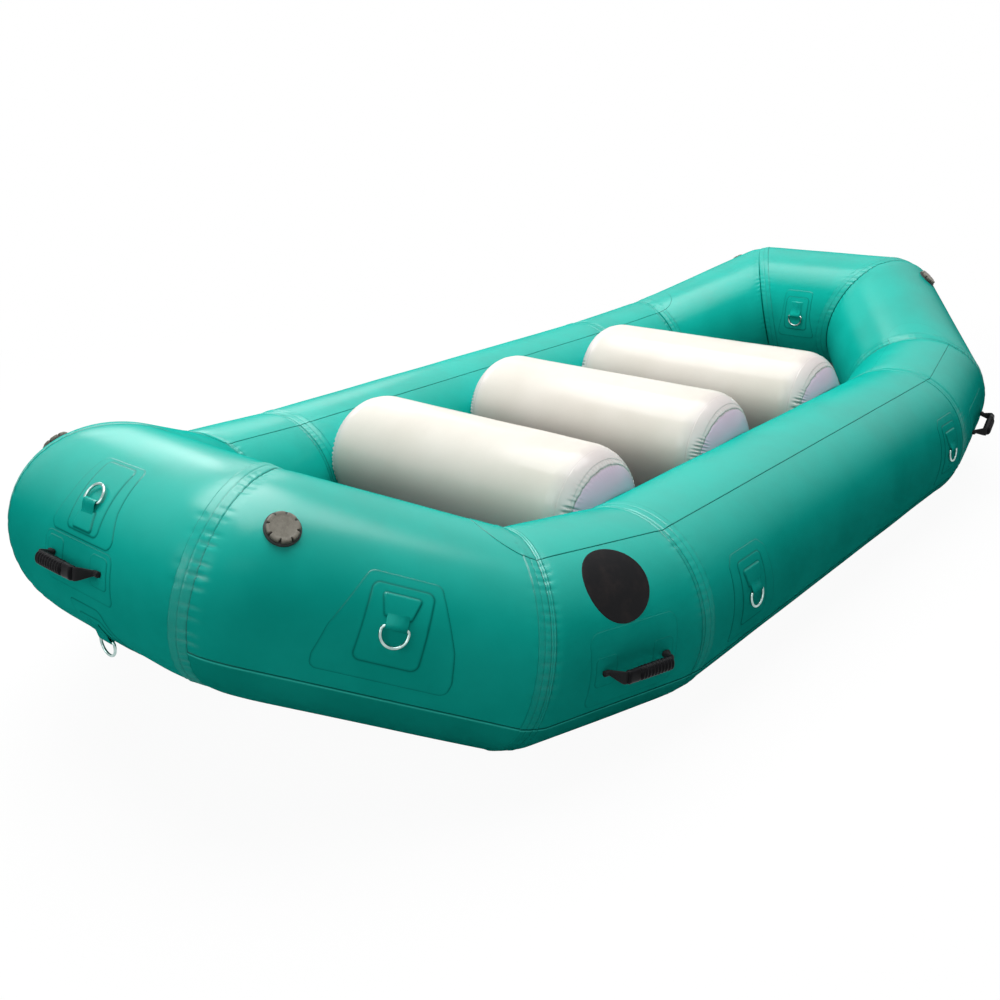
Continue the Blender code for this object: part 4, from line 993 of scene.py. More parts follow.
# %% Ring patches
SHEET, DOUBLER, TAB = 1.2 * MM, 1.1 * MM, 3.2 * MM
DIAGONAL_PATCH = [
    (house((-0.128, 0.150), (-0.092, 0.153), (-0.025, 0.138), (0.108, 0.078)), 0.020, SHEET, 0.8),
    (house((-0.083, 0.070), (0.084, 0.066)), 0.016, DOUBLER, 0.8),
    (house((0.020, 0.029), (0.066, 0.042)), 0.006, TAB, 0.7),
]
SIDE_PATCH = [
    (house((-0.118, 0.108), (-0.060, 0.110), (0.094, 0.092), (0.120, 0.068)), 0.018, SHEET, 0.8),
    (house((-0.080, 0.060), (0.091, 0.056)), 0.014, DOUBLER, 0.8),
    (house((0.020, 0.029), (0.066, 0.042)), 0.006, TAB, 0.7),
]
AFT_PATCH = [
    (house((-0.118, 0.098), (-0.060, 0.098), (0.094, 0.086), (0.120, 0.064)), 0.018, SHEET, 0.8),
    *SIDE_PATCH[1:],
]
TOP_PATCH = [
    (house((-0.086, 0.134), (-0.004, 0.102), (0.114, 0.084)), 0.022, SHEET, 0.8),
    (house((-0.070, 0.062), (0.102, 0.056)), 0.014, DOUBLER, 0.7),
    (house((-0.064, 0.038), (-0.020, 0.028)), 0.006, TAB, 0.7),
]
TOW_PATCH = [
    (house((-0.098, 0.088), (0.0, 0.078), (0.112, 0.064)), 0.018, SHEET, 0.8),
    (house((-0.060, 0.050), (0.075, 0.046)), 0.012, DOUBLER, 0.7),
]
INNER_PATCH = [
    (house((-0.112, 0.064), (0.0, 0.066), (0.098, 0.088)), 0.018, SHEET, 0.8),
    (house((-0.080, 0.050), (0.060, 0.050)), 0.014, DOUBLER, 0.7),
]
side_length = tubes["port_side_tube"].length
diagonal_length = tubes["bow_port_diagonal_tube"].length
nose_length = tubes["bow_nose_tube"].length
fore, aft, slant = side_length * 0.122, side_length * 0.925, diagonal_length * 0.50
# name, tube, place along it, degrees round it, side of the bar, upright, layers, webbing's reach
RINGS = [
    ("bow_top_ring", "bow_nose_tube", nose_length / 2, 43.0, -1, False, TOP_PATCH, 0.040),
    ("bow_tow_ring", "bow_nose_tube", nose_length / 2, -36.0, 1, True, TOW_PATCH, 0.060),
    ("bow_port_ring", "bow_port_diagonal_tube", slant, 18.7, 1, False, DIAGONAL_PATCH, 0.040),
    ("bow_starboard_ring", "bow_starboard_diagonal_tube", diagonal_length - slant, 18.7, 1, False,
     DIAGONAL_PATCH, 0.040),
    ("port_fore_ring", "port_side_tube", fore, 6.5, 1, False, SIDE_PATCH, 0.040),
    ("port_aft_ring", "port_side_tube", aft, 6.5, 1, False, AFT_PATCH, 0.040),
    ("starboard_fore_ring", "starboard_side_tube", side_length - fore, 6.5, 1, False,
     SIDE_PATCH, 0.040),
    ("starboard_aft_ring", "starboard_side_tube", side_length - aft, 6.5, 1, False,
     AFT_PATCH, 0.040),
    ("stern_inner_ring", "stern_nose_tube", nose_length / 2, 178.0, -1, True, INNER_PATCH, 0.060),
]


print(len(RINGS), "rings in the table")


# %% Hanging the rings
def placed(mesh, origin, across, along):
    """A copy of a mesh with its X and Y laid across and along, at an origin."""
    ways = [Vector(way) for way in (across, along, np.cross(across, along))]
    matrix = Matrix(ways).transposed().to_4x4()
    matrix.translation = Vector(origin)
    made = mesh.copy()
    made.transform(matrix)
    return made


for name, tube_name, along, degrees, hang, upright, layers, reach in RINGS:
    tube = tubes[tube_name]
    patch = relief(name + "_patch_fabric", tube, along, degrees, layers)
    add_piece(name + "_patch_fabric", patch, patch_finish, "hull", [name + "_patch"])
    webbing = webbing_mesh(name + "_webbing", tube, along, degrees, hang, reach)
    add_piece(name + "_webbing", webbing, webbing_finish, "hull")
    axis, across, uphill, normal = tube.frame(along, degrees)
    bar = axis + normal * (RADIUS + BAR_HEIGHT)
    wire = placed(ring_wire, bar, across, UP if upright else uphill * hang)
    add_piece(name + "_wire", wire, steel_finish, name + "_body", [name])
print(len(RINGS), "rings hung")

# %% [markdown]
# ## Carry handles
# A carry handle is a black webbing strap between two bonded pads, with a rubber grip on it. The
# rubber is dusty and hardly shines, and the strap is woven far too finely to model. An image of
# webbing would need its own UV map, so the weave is a bump of two crossed waves on Object
# coordinates, and the dust is noise.

# %% Rubber and strap
def rubber(name, colour, grain):
    f = Finish(name)
    where = f.place()
    speck = f.noise(where, 700.0, 2.0, 0.6)
    dust = f.noise(where, 45.0, 4.0, 0.6)
    dusty = tuple(c * 1.7 + 0.002 for c in colour)
    tone = f.mix(dust.above(0.45, 0.8), colour, dusty)
    f.bump(speck * 2.0 + dust, grain)
    return f.set(Base_Color=tone, Roughness=dust * 0.3 + 0.24, Specular_IOR_Level=0.07)


grip_finish = rubber("grip_rubber_finish", (0.003, 0.003, 0.004), 0.06 * MM)


def strap_weave(name):
    f = Finish(name)
    x, y, z = f.parts(f.place())
    weave = (x + y + z).waves(2.4 * MM) * (x - y + z).waves(2.4 * MM)
    tone = f.mix(weave * 0.5 + 0.5, (0.005, 0.005, 0.006), (0.012, 0.012, 0.013))
    f.bump(weave, 0.25 * MM)
    return f.set(Base_Color=tone, Roughness=0.6, Specular_IOR_Level=0.15)


strap_finish = strap_weave("strap_webbing_finish")
print("rubber and strap finishes made")

# %% [markdown]
# ## Shapes of the handles
# The strap rises from a round knuckle at each end and is flat between, and the grip has ten ribs
# and a smooth collar on one side. The ribs could be an Array of rings, but real ones melt into
# each other. So one sweep follows the handle's line and changes its section on the way: round,
# flat or ribbed. Strap and grip are made once and placed six times.

# %% Handle shapes
HALF, KNUCKLE, KNUCKLE_LONG, SHOULDER, STAND = 0.105, 0.007, 0.014, 0.016, 0.046
GRIP_SHIFT, GRIP_HALF, RIBS = 0.018, 0.054, 10
STRAP_HALF, STRAP_THICK, STRAP_TRIM = 0.016, 0.0026, 0.86
GRIP_WIDE, GRIP_THICK, RIB_HIGH = 0.0142, 0.0122, 0.0026
COLLAR_WIDE, COLLAR_THICK, COLLAR_LAP = 0.0165, 0.0098, 0.5 * MM
COLLAR_PLACES = np.array([0, 1.5, 3, 6, 12, 20, 28, 32, 34, 35.5]) * MM
COLLAR_SIZES = np.array([0.9, 1.0, 1.03, 1.03, 1.0, 0.98, 1.0, 1.0, 0.93, 0.8])


def handle_height(x):
    share = smooth((HALF - KNUCKLE_LONG - np.abs(x)) / SHOULDER)
    return (STAND - KNUCKLE) * share


def handle_sweep(name, xs, halves, thicks, powers, sides=20):
    """Rounded sections along the handle's line, square to it; a power of 1 is a round one."""
    step = 0.3 * MM
    slope = (handle_height(xs + step) - handle_height(xs - step)) / (2 * step)
    slope = np.where(np.abs(xs) > HALF - KNUCKLE_LONG - step, 0, slope)
    turn = np.arange(sides) / sides * math.tau

    def rounded(wave, power):
        return np.sign(wave) * np.abs(wave) ** power

    rings, powers = [], np.broadcast_to(powers, xs.shape)
    for x, tilt, half, thick, power in zip(xs, slope, halves, thicks, powers):
        lean = unit(np.array((-tilt, 0, 1.0)))
        ring = np.zeros((sides, 3))
        ring[:, 0], ring[:, 2] = x, handle_height(x)
        ring[:, 1] = rounded(np.cos(turn), power) * half
        rings.append(ring + (rounded(np.sin(turn), power) * thick)[:, None] * lean)
    return skinned(name, rings)


def strap_mesh():
    knuckle = HALF - KNUCKLE_LONG
    ends = np.array([HALF, HALF - 1 * MM])
    xs = np.concatenate([-ends, np.linspace(-knuckle, knuckle, 90), ends[::-1]])
    share = np.clip((knuckle - np.abs(xs)) / SHOULDER, 0, 1)
    halves = KNUCKLE + (STRAP_HALF - KNUCKLE) * smooth(share * 1.3 - 0.15)
    thicks = KNUCKLE + (STRAP_THICK - KNUCKLE) * smooth(share)
    trim = np.ones(len(xs))
    trim[[0, -1]] = STRAP_TRIM
    powers = 1 - 0.38 * smooth(share * 1.5)
    return handle_sweep("handle_strap", xs, halves * trim, thicks * trim, powers)


def merged(name, meshes):
    """Several meshes in one, with the points that lie on each other made one."""
    shell = bmesh.new()
    for mesh in meshes:
        shell.from_mesh(mesh)
    bmesh.ops.remove_doubles(shell, verts=shell.verts, dist=0.01 * MM)
    return faced_out(shell, bpy.data.meshes.new(name))


def grip_mesh(shift):
    """Ribbed grip, longer on the side it is pushed to, and its smooth collar."""
    way = 1 if shift > 0 else -1
    xs = np.linspace(-GRIP_HALF, GRIP_HALF, 12 * RIBS + 1)
    phase = (xs + GRIP_HALF) / (2 * GRIP_HALF) * RIBS
    rib = RIB_HIGH * np.clip(0.5 - 0.5 * np.cos(math.tau * phase), 0, 1) ** 0.55
    taper = 1 - 0.18 * dip(GRIP_HALF - np.abs(xs), 4 * MM)
    ribbed = handle_sweep("handle_grip", way * xs + shift, (GRIP_WIDE + rib) * taper,
                          (GRIP_THICK + rib) * taper, 0.9, 28)
    start = shift - way * (GRIP_HALF - COLLAR_LAP)
    collar = handle_sweep("handle_collar", start - way * COLLAR_PLACES, COLLAR_WIDE * COLLAR_SIZES,
                          COLLAR_THICK * COLLAR_SIZES, 0.72, 28)
    return merged("handle_grip", [ribbed, collar])


strap, grips = strap_mesh(), {way: grip_mesh(way * GRIP_SHIFT) for way in (-1, 1)}
print("strap:", len(strap.vertices), "points, grip:", len(grips[1].vertices), "points")

# %% [markdown]
# ## Fixing the handles
# One handle sits on each nose and one on each kick, on a wide patch with a pad under each end.
# Each could be moved into place by hand, but its hinge has to agree with the packed joint to a
# tenth of a millimetre. So the height of the hinge is measured on the solid that the strap stands
# for, and the pads are laid on the skin below it.

# %% Handles
kick_length = tubes["bow_port_kick_tube"].length
KICK_PLACE = kick_length * 0.475
# name, tube, place along it, degrees round it, side that the grip is pushed to
HANDLES = [
    ("bow_handle", "bow_nose_tube", nose_length / 2, 12.0, -1),
    ("stern_handle", "stern_nose_tube", nose_length / 2, 12.0, 1),
    ("bow_port_handle", "bow_port_kick_tube", KICK_PLACE, -1.0, 1),
    ("bow_starboard_handle", "bow_starboard_kick_tube", kick_length - KICK_PLACE, -1.0, -1),
    ("stern_port_handle", "stern_port_kick_tube", kick_length - KICK_PLACE, -1.0, -1),
    ("stern_starboard_handle", "stern_starboard_kick_tube", KICK_PLACE, -1.0, 1),
]
KICK_PATCH = (house((-0.096, 0.140), (0.096, 0.140)), 0.030, DOUBLER, 0.55)
NOSE_PATCH = (house((-0.072, 0.139), (0.048, 0.139)), 0.022, DOUBLER, 0.7)
PAD = (house((-0.038, 0.034), (0.038, 0.034)), 0.015, 2.3 * MM, 0.7)
PAD_PLACE = HALF - KNUCKLE_LONG
for name, tube_name, along, degrees, shift in HANDLES:
    tube = tubes[tube_name]
    axis, across, uphill, normal = tube.frame(along, degrees)
    lowest = min((np.array(v.co) - axis) @ normal for v in nodes[name].data.vertices)
    hinge = axis + normal * (lowest + KNUCKLE)
    for part, mesh, finish in (("strap", strap, strap_finish), ("grip", grips[shift], grip_finish)):
        made = placed(mesh, hinge, across, uphill)
        add_piece(f"{name}_{part}", made, finish, name + "_body",
                  [name] if part == "strap" else [])
    base = NOSE_PATCH if "nose" in tube_name else KICK_PATCH
    for part, away, layer in (("patch", 0, base), ("fore_pad", -1, PAD), ("aft_pad", 1, PAD)):
        title = f"{name}_{part}_fabric"
        made = relief(title, tube, along + away * PAD_PLACE, degrees, [layer])
        add_piece(title, made, patch_finish, "hull")
print(len(HANDLES), "handles fixed")

# %% [markdown]
# ## Valves
# Each air chamber is filled through a valve of moulded plastic: a grey cap in a dark flange, both
# faded and full of pale flecks from grit. A plain grey would look like new. Three scales of noise
# lay stain, flecks and grain over each other, and the value `line` paints shade into the notches.

# %% Moulded plastic
def moulded(name, colour, pale):
    f = Finish(name)
    where = f.place()
    grain = f.noise(where, 600.0, 2.0, 0.6)
    stain = f.noise(where, 70.0, 4.0, 0.65)
    fleck = f.noise(where, 260.0, 3.0, 0.7)
    tone = f.mix(f.attribute("shade"), colour, pale)
    tone = f.mix(stain.above(0.35, 0.75) * 0.6, tone, tuple(c * 0.72 for c in colour))
    tone = f.mix(fleck.above(0.58, 0.72) * 0.5, tone, tuple(c * 1.7 for c in pale))
    # Painted shade in the notches of the cap, from the value `line`.
    tone = f.mix(f.attribute("line"), tone, (0.03, 0.028, 0.025))
    f.bump(grain + stain * 0.5, 0.08 * MM)
    return f.set(Base_Color=tone, Roughness=stain * 0.25 + 0.34, Specular_IOR_Level=0.2)


valve_finish = moulded("valve_plastic_finish", (0.150, 0.135, 0.108), (0.225, 0.213, 0.178))
dark_finish = moulded("valve_base_finish", (0.045, 0.047, 0.045), (0.06, 0.06, 0.06))
print("plastic finishes made")

# %% [markdown]
# ## Shapes of the valves
# A cap is a disc with eight notches for a spanner round a shallow flat dish, and a smooth ring lies
# round the flange. Cutting the notches with Booleans leaves slivers. Here the profile of the cap is
# turned, and a sharp wave of the angle pulls its rim inwards and down eight times, which keeps the
# mesh all quads.

# %% Valve shapes
CAP_LOW, CAP_TOP, CAP_R = 0.0043, 0.0133, 0.036
NOTCHES, NOTCH_POWER, NOTCH_DEEP, NOTCH_DROP = 8, 14, 0.0052, 0.0022
NOTCH_FOOT, PALE_FOOT, CAP_SIDES, RIM_SIDES = 0.008, 0.0115, 192, 96
# radius, height and share of the notch, from the middle below round the rim to the middle above
CAP_PROFILE = [
    (0.0004, CAP_LOW, 0), (0.0175, CAP_LOW, 0), (0.0175, CAP_LOW - 0.009, 0),
    (0.020, CAP_LOW - 0.009, 0), (0.020, CAP_LOW, 0), (0.0345, CAP_LOW, 1),
    (0.0356, CAP_LOW + 0.0006, 1), (CAP_R, CAP_LOW + 0.0018, 1), (CAP_R, CAP_TOP - 0.003, 1),
    (CAP_R - 0.0007, CAP_TOP - 0.0012, 1), (CAP_R - 0.0022, CAP_TOP - 0.0002, 1),
    (CAP_R - 0.004, CAP_TOP, 0.9), (0.0295, CAP_TOP, 0.35), (0.0280, CAP_TOP - 0.0001, 0.1),
    (0.0268, CAP_TOP - 0.0004, 0), (0.0256, CAP_TOP - 0.0006, 0), (0.0225, CAP_TOP - 0.0007, 0),
    (0.018, CAP_TOP - 0.0007, 0), (0.010, CAP_TOP - 0.0007, 0), (0.0004, CAP_TOP - 0.0007, 0),
]
RIM_IN, RIM_OUT, RIM_TOP, RIM_LOW, RIM_EDGE = 0.0330, 0.0394, 0.0041, -0.0036, 0.0008
RIM_PROFILE = [
    (RIM_IN, RIM_LOW), (RIM_OUT, RIM_LOW), (RIM_OUT, RIM_TOP - RIM_EDGE),
    (RIM_OUT - 0.3 * RIM_EDGE, RIM_TOP - 0.3 * RIM_EDGE), (RIM_OUT - RIM_EDGE, RIM_TOP),
    (RIM_IN, RIM_TOP), (RIM_IN, RIM_LOW),
]


def turned(radius, height, turn):
    """Rings of points round the Z axis, one for each row of the radius and the height."""
    return np.stack(np.broadcast_arrays(radius * np.cos(turn), radius * np.sin(turn), height), -1)


def cap_mesh():
    turn = np.arange(CAP_SIDES) / CAP_SIDES * math.tau
    r, z, share = np.array(CAP_PROFILE, float).T[..., None]
    cut = (0.5 + 0.5 * np.cos(NOTCHES * turn)) ** NOTCH_POWER * share
    rings = turned(r - NOTCH_DEEP * cut, z - NOTCH_DROP * cut * (z > NOTCH_FOOT), turn)
    mesh = skinned("valve_cap", rings)
    # `line` paints shade into the notches; the other value gives the top its pale tone.
    mark(mesh, shade=np.where(z > PALE_FOOT, 1.0, 0.35) + 0 * cut, line=np.clip(0.85 * cut, 0, 1))
    return mesh


def rim_mesh():
    """Smooth ring round the valve's flange, down to the tube's skin."""
    turn = np.arange(RIM_SIDES) / RIM_SIDES * math.tau
    r, z = np.array(RIM_PROFILE).T[..., None]
    return merged("valve_rim", [skinned("valve_rim", turned(r, z, turn), capped=False)])


cap, rim = cap_mesh(), rim_mesh()
print("cap:", len(cap.vertices), "points, rim:", len(rim.vertices), "points")

# %% [markdown]
# ## Screwing in the valves
# There is one valve for each air chamber, on the diagonals near the noses, with its axis square to
# the skin. Four turned copies could be placed by hand, and would not agree with the caps that turn
# in the frame. The tube gives the place and the three ways there, and two loops go round the ends
# and sides. The bodies and plungers keep their solids, which only get the dark plastic.

# %% Valves
VALVE_INSET, VALVE_DEGREES = 0.028, 51.0


def repaint(name, material):
    """Gives a node that stays as it is a new material."""
    nodes[name].data.materials.clear()
    nodes[name].data.materials.append(material)


for end in ("bow", "stern"):
    for side in ("port", "starboard"):
        tube, name = tubes[f"{end}_{side}_diagonal_tube"], f"{end}_{side}_valve"
        near = (end == "bow") == (side == "port")
        along = VALVE_INSET if near else tube.length - VALVE_INSET
        axis, across, uphill, normal = tube.frame(along, VALVE_DEGREES)
        seat = axis + normal * (RADIUS + FABRIC_GAP)
        made = placed(cap, seat, across, uphill)
        add_piece(name + "_cap_moulding", made, valve_finish, name + "_cap_body",
                  [name + "_cap"])
        made = placed(rim, seat, across, uphill)
        add_piece(name + "_rim", made, dark_finish, "hull")
        for part in ("body", "plunger"):
            repaint(f"{name}_{part}", dark_finish)
print("valves capped")

# %% [markdown]
# ## Thwarts
# The cross tubes are barrels of a pale, glossier fabric. A lilac colour is painted on their caps
# and towards their ends, which stands for the cool light there and offsets the teal light that the
# tubes bounce onto them, and painted shade darkens them underneath, where they turn to the floor.
# The dirt lies in streaks, so its noise is stretched on the UV map. The painted shade comes from
# the Normal, because a lamp for it would light the tubes too.

# %% Thwart fabric
def thwart_fabric(name):
    f = Finish(name)
    where = f.place()
    u, v, _ = f.parts(f.place("UV"))
    cloud = f.noise(where, 4.0, 4.0, 0.5)
    fine = f.noise(where, 110.0, 3.0, 0.6)
    dirt = f.noise(f.vector(u * 2.0, v * 9.0, 0.0), 5.0, 5.0, 0.65)
    tone = f.mix(cloud.above(0.3, 0.7), (0.690, 0.650, 0.580), (0.745, 0.705, 0.640))
    # Painted lilac on the caps and towards the ends: it stands for the cool light there and offsets
    # the teal light that the tubes bounce onto the barrel.
    tone = f.mix(f.attribute("shade"), tone, (0.66, 0.51, 0.64))
    tone = f.mix(dirt.above(0.6, 0.85) * 0.12, tone, (0.45, 0.40, 0.33))
    # Painted shade: the colour darkens where the surface turns down towards the floor.
    lower = 1 - f.parts(f.place("Normal"))[2].above(-0.35, 0.5)
    tone = f.mix(lower * 0.75, tone, (0.375, 0.310, 0.300))
    tone = f.mix(f.attribute("line") * 0.6, tone, (0.16, 0.14, 0.13))
    weave = u.waves(1.5 * MM) * v.waves(1.5 * MM)
    f.bump(weave * 0.4 + fine * 1.6 + cloud * 3.0, 0.05 * MM)
    return f.set(Base_Color=tone, Roughness=fine * 0.15 + 0.36, Specular_IOR_Level=0.12,
                 Coat_Weight=0.5, Coat_Roughness=0.14)


thwart_finish = thwart_fabric("thwart_fabric_finish")
print("thwart finish made")

# %% [markdown]
# ## Shapes of the thwarts
# A round cap is glued into each end of a barrel. Its seam gathers the fabric, most on its lower
# part, and where the barrel is squeezed between the side tubes it is pressed flat. Inflating a
# cloth would show all of this, but not the same way each time. So the barrel is turned from a
# profile, the seam and its gathers are lifts worked out along that profile, and points that would
# lie inside a tube are pushed out to its skin.

# %% Thwart profile
THWART_R, THWART_Z, THWART_PITCH, DOME, PRESS = 0.194, 0.376, 0.674, 0.143, 0.064
SEAT = SIDE_X - math.sqrt(RADIUS ** 2 - (THWART_Z - SIDE_Z) ** 2)
REACH = SEAT + PRESS
SEAM_BEND, TAPE_BEND = math.asin(0.84), math.asin(0.95)
PRESS_GAP = 1.2 * MM


def thwart_profile():
    """Half profile from the middle to the tip: place, radius and arc length past the seam."""
    bends = np.concatenate([
        np.linspace(0, math.pi / 2, 40), SEAM_BEND + np.linspace(-0.12, 0.12, 37),
        TAPE_BEND + np.linspace(-0.018, 0.018, 7)])
    bends = np.sort(bends)[::-1]
    straight = np.linspace(0, REACH - DOME, 13)[:-1]
    x = np.concatenate([straight, REACH - DOME + DOME * np.cos(bends)])
    r = np.concatenate([np.full(len(straight), THWART_R), THWART_R * np.sin(bends)])
    arc = np.cumsum(np.append(0, np.hypot(np.diff(x), np.diff(r))))
    seam, tape = (arc[len(straight) + np.argmin(np.abs(bends - bend))]
                  for bend in (SEAM_BEND, TAPE_BEND))
    return x, r, arc - seam, seam - tape


def gathers(turn, rng):
    """Share from 0 to 1 of the pull of the fabric round an end seam, most on its lower side."""
    waves = [(round(rng.uniform(60, 96)), rng.uniform(0, math.tau)) for _ in range(5)]
    total = sum(np.sin(count * turn + phase) for count, phase in waves)
    low = 0.12 + 0.88 * smooth((0.62 - np.sin(turn)) / 0.4)
    return np.clip(total * 0.45, -0.3, 1) * low


print("thwart profile:", len(thwart_profile()[0]), "points to each end")


# %% Thwarts
def gathered(past, tape, turn, row, seed):
    """Lift, glue line and share of painted lilac colour of a barrel's skin, from how far past its
    end seam a point lies.
    """
    gather = gathers(turn, np.random.default_rng(seed))
    wave = 1.5 * MM * np.sin(23 * turn + row) * (gather > 0)
    from_seam = past[:, None] + wave[None] - 20 * MM * np.sin(turn)[None]
    lift = -1.8 * MM * dip(from_seam, 2.4 * MM) - 1.2 * MM * smooth(from_seam / (3 * MM))
    lift = lift + (1.1 * MM * smooth((past + tape) / (2 * MM)) * (past < 0))[:, None]
    lift = lift - 6.0 * MM * dip(from_seam + 11 * MM, 12 * MM) * gather[None]
    lift = lift - 2.6 * MM * dip(from_seam - 8 * MM, 9 * MM) * gather[None]
    line = np.maximum(0.85 * dip(from_seam, 1.5 * MM), 0.30 * dip(past + tape, 1.6 * MM)[:, None])
    # Painted lilac grows towards the end seam, against the teal light bounced from the tubes.
    near = 0.28 * smooth((past + tape + 50 * MM) / (80 * MM))
    return lift, line, np.maximum(smooth((from_seam + 1 * MM) / (3 * MM)), near[:, None])


def pressed(points):
    """Points that lie inside a tube pushed out to its skin."""
    for tube in tubes.values():
        rel = points - tube.start
        along = rel @ tube.along
        foot = rel - along[..., None] * tube.along
        gap = np.linalg.norm(foot, axis=-1)
        near = (gap < RADIUS + PRESS_GAP) & (along > -0.1) & (along < tube.length + 0.1)
        push = np.where(near, (RADIUS + PRESS_GAP) / np.maximum(gap, 1e-6), 1.0)
        points = points + foot * (push - 1)[..., None]
    return points


def swell_axis(points):
    return np.stack([swell(points) * 0, swell(points), swell(points + 0.3)], -1)


def thwart_mesh(name, row, seed):
    half_x, half_r, half_past, tape = thwart_profile()
    x = np.concatenate([-half_x[:0:-1], half_x])
    r, past = (np.concatenate([half[:0:-1], half]) for half in (half_r, half_past))
    turn = np.arange(480) / 480 * math.tau
    lift, line, shade = gathered(past, tape, turn, row, seed)
    slope_x, slope_r = np.gradient(x), np.gradient(r)
    size = np.hypot(slope_x, slope_r)
    out_x, out_r = -slope_r / size, slope_x / size
    lift = lift * smooth(r / 0.05)[:, None]
    radius = np.maximum(r[:, None] + lift * out_r[:, None], 0.0)
    place = x[:, None] + lift * out_x[:, None]
    centre = np.array((8 * MM * (row == 1), row * THWART_PITCH, THWART_Z))
    points = np.stack([place, radius * np.cos(turn), radius * np.sin(turn)], -1) + centre
    arc = np.cumsum(np.append(0, np.hypot(np.diff(x), np.diff(r))))
    round_uv = np.append(turn, math.tau) * THWART_R
    uv = np.stack(np.broadcast_arrays(arc[:, None], round_uv), -1)
    return grid_mesh(name, pressed(points + swell_axis(points)), uv, closed=True, flip=True,
                     line=np.clip(line, 0, 1), shade=shade)


for row, which in ((-1, "bow"), (0, "middle"), (1, "stern")):
    name = f"{which}_thwart"
    barrel = add_piece(name + "_cover", thwart_mesh(name + "_cover", row, 40 + row), thwart_finish,
                       "hull", [name])
print("thwarts inflated")

# %% [markdown]
# ## Floor
# The floor is a dark, dull fabric with a coarse weave that grips wet shoes, paler where it is worn.
# It is in shade and seen at a slant, so a weave as bump and two scales of noise are enough.

# %% Floor fabric
def floor_cover(name):
    f = Finish(name)
    where = f.place()
    u, v, _ = f.parts(f.place("UV"))
    cloud = f.noise(where, 6.0, 4.0, 0.55)
    grit = f.noise(where, 130.0, 3.0, 0.65)
    tone = f.mix(cloud.above(0.3, 0.7), (0.12, 0.125, 0.13), (0.16, 0.168, 0.175))
    tone = f.mix(f.attribute("line") * 0.6, tone, (0.05, 0.052, 0.055))
    weave = u.waves(2.2 * MM) * v.waves(2.2 * MM)
    f.bump(weave + grit * 1.5, 0.12 * MM)
    return f.set(Base_Color=tone, Roughness=grit * 0.2 + 0.42)


floor_finish = floor_cover("floor_fabric_finish")
print("floor finish made")

# %% [markdown]
# ## Shape of the floor
# The floor of a self-bailing raft is an air mattress: two skins that inner walls hold together, so
# that it swells in lobes. Five bent cylinders could stand for the lobes, but their valleys would be
# open seams. A section with all the lobes is carried from end to end instead, and its width is
# measured between the tubes beside it.

# %% Floor shape
HALF_THICK, LIFT, FLOOR_END, END_ROUND, LOBES = 0.060, 0.020, 1.480, 0.055, 5
VALLEY_DEEP = 0.30


def axis_height(y):
    return np.interp(np.abs(y), [0, SIDE_END_Y, KICK_END_Y, NOSE_Y],
                     [SIDE_Z, SIDE_Z, SIDE_Z + KICK_RISE, SIDE_Z + NOSE_RISE])


def floor_centre(y):
    return axis_height(y) - SIDE_Z + LIFT + HALF_THICK


def to_axis(points):
    least = np.full(points.shape[:-1], 1e9)
    for tube in tubes.values():
        along = np.clip((points - tube.start) @ tube.along, 0, tube.length)
        gap = np.linalg.norm(points - tube.start - along[..., None] * tube.along, axis=-1)
        least = np.minimum(least, gap)
    return least


def clear_width(y, z, need):
    """Half width at which a line across the raft comes within a distance of the tubes' axis."""
    low, high = np.zeros_like(y), np.full_like(y, SIDE_X)
    for _ in range(30):
        middle = (low + high) / 2
        free = to_axis(np.stack([middle, y, z], -1)) >= need
        low, high = np.where(free, middle, low), np.where(free, high, middle)
    return low


amidships = np.zeros(1)
half_width = clear_width(amidships, floor_centre(amidships), RADIUS + HALF_THICK) + HALF_THICK
print("floor half width amidships", half_width.round(3))


# %% Floor
def lobe_section():
    """Across one skin: place from -1 to 1, height share and strength of the valleys' line."""
    u = np.linspace(-1, 1, LOBES * 24 + 1)
    phase = ((u + 1) / 2 * LOBES) % 1.0
    level = 1 - VALLEY_DEEP * (1 - np.sin(math.pi * phase)) ** 2
    outer = (np.abs(u) - 1 + 1 / LOBES) * LOBES
    level = np.where(outer > 0, np.maximum(level, smooth(outer * 1.6)), level)
    valley = dip(np.minimum(phase, 1 - phase) / LOBES, 0.006) * (np.abs(u) < 0.999)
    return u, level, valley


def floor_mesh():
    inner = np.linspace(-(FLOOR_END - END_ROUND), FLOOR_END - END_ROUND, 130)
    bend = np.linspace(0, math.pi / 2 * 0.93, 9)[1:]
    tip = FLOOR_END - END_ROUND * (1 - np.sin(bend))
    y = np.concatenate([-tip[::-1], inner, tip])
    thin = np.concatenate([np.cos(bend)[::-1], np.ones(len(inner)), np.cos(bend)])
    flat = clear_width(y, floor_centre(y), RADIUS + HALF_THICK + 1.0 * MM)
    u, level, valley = lobe_section()
    rim = np.linspace(0, math.pi / 2, 8)[:-1]
    side_x, side_z = HALF_THICK * np.cos(rim), np.sin(rim)
    seam = np.concatenate([0 * rim, valley, 0 * rim])
    z = np.concatenate([side_z, level, side_z[::-1]])
    z = np.concatenate([z, -z[-2:0:-1]])
    rings = []
    for place, share, width in zip(y, thin, flat):
        x = np.concatenate([-width - side_x, u * width, (width + side_x)[::-1]])
        x = np.concatenate([x, x[-2:0:-1]])
        height = z * HALF_THICK * share + floor_centre(place)
        rings.append(np.stack([x, np.full(len(x), place), height], -1))
    rings = np.array(rings)
    rings[..., 2] += swell(rings * 1.7) * 1.5
    mesh = skinned("floor_cover", rings)
    mark(mesh, line=np.tile(np.concatenate([seam, seam[-2:0:-1]]), len(y)))
    unwrap(mesh, rings.reshape(-1, 3)[:, :2])
    return mesh


cover = add_piece("floor_cover", floor_mesh(), floor_finish, "hull", ["floor"])
print("floor:", len(cover.data.polygons), "faces")

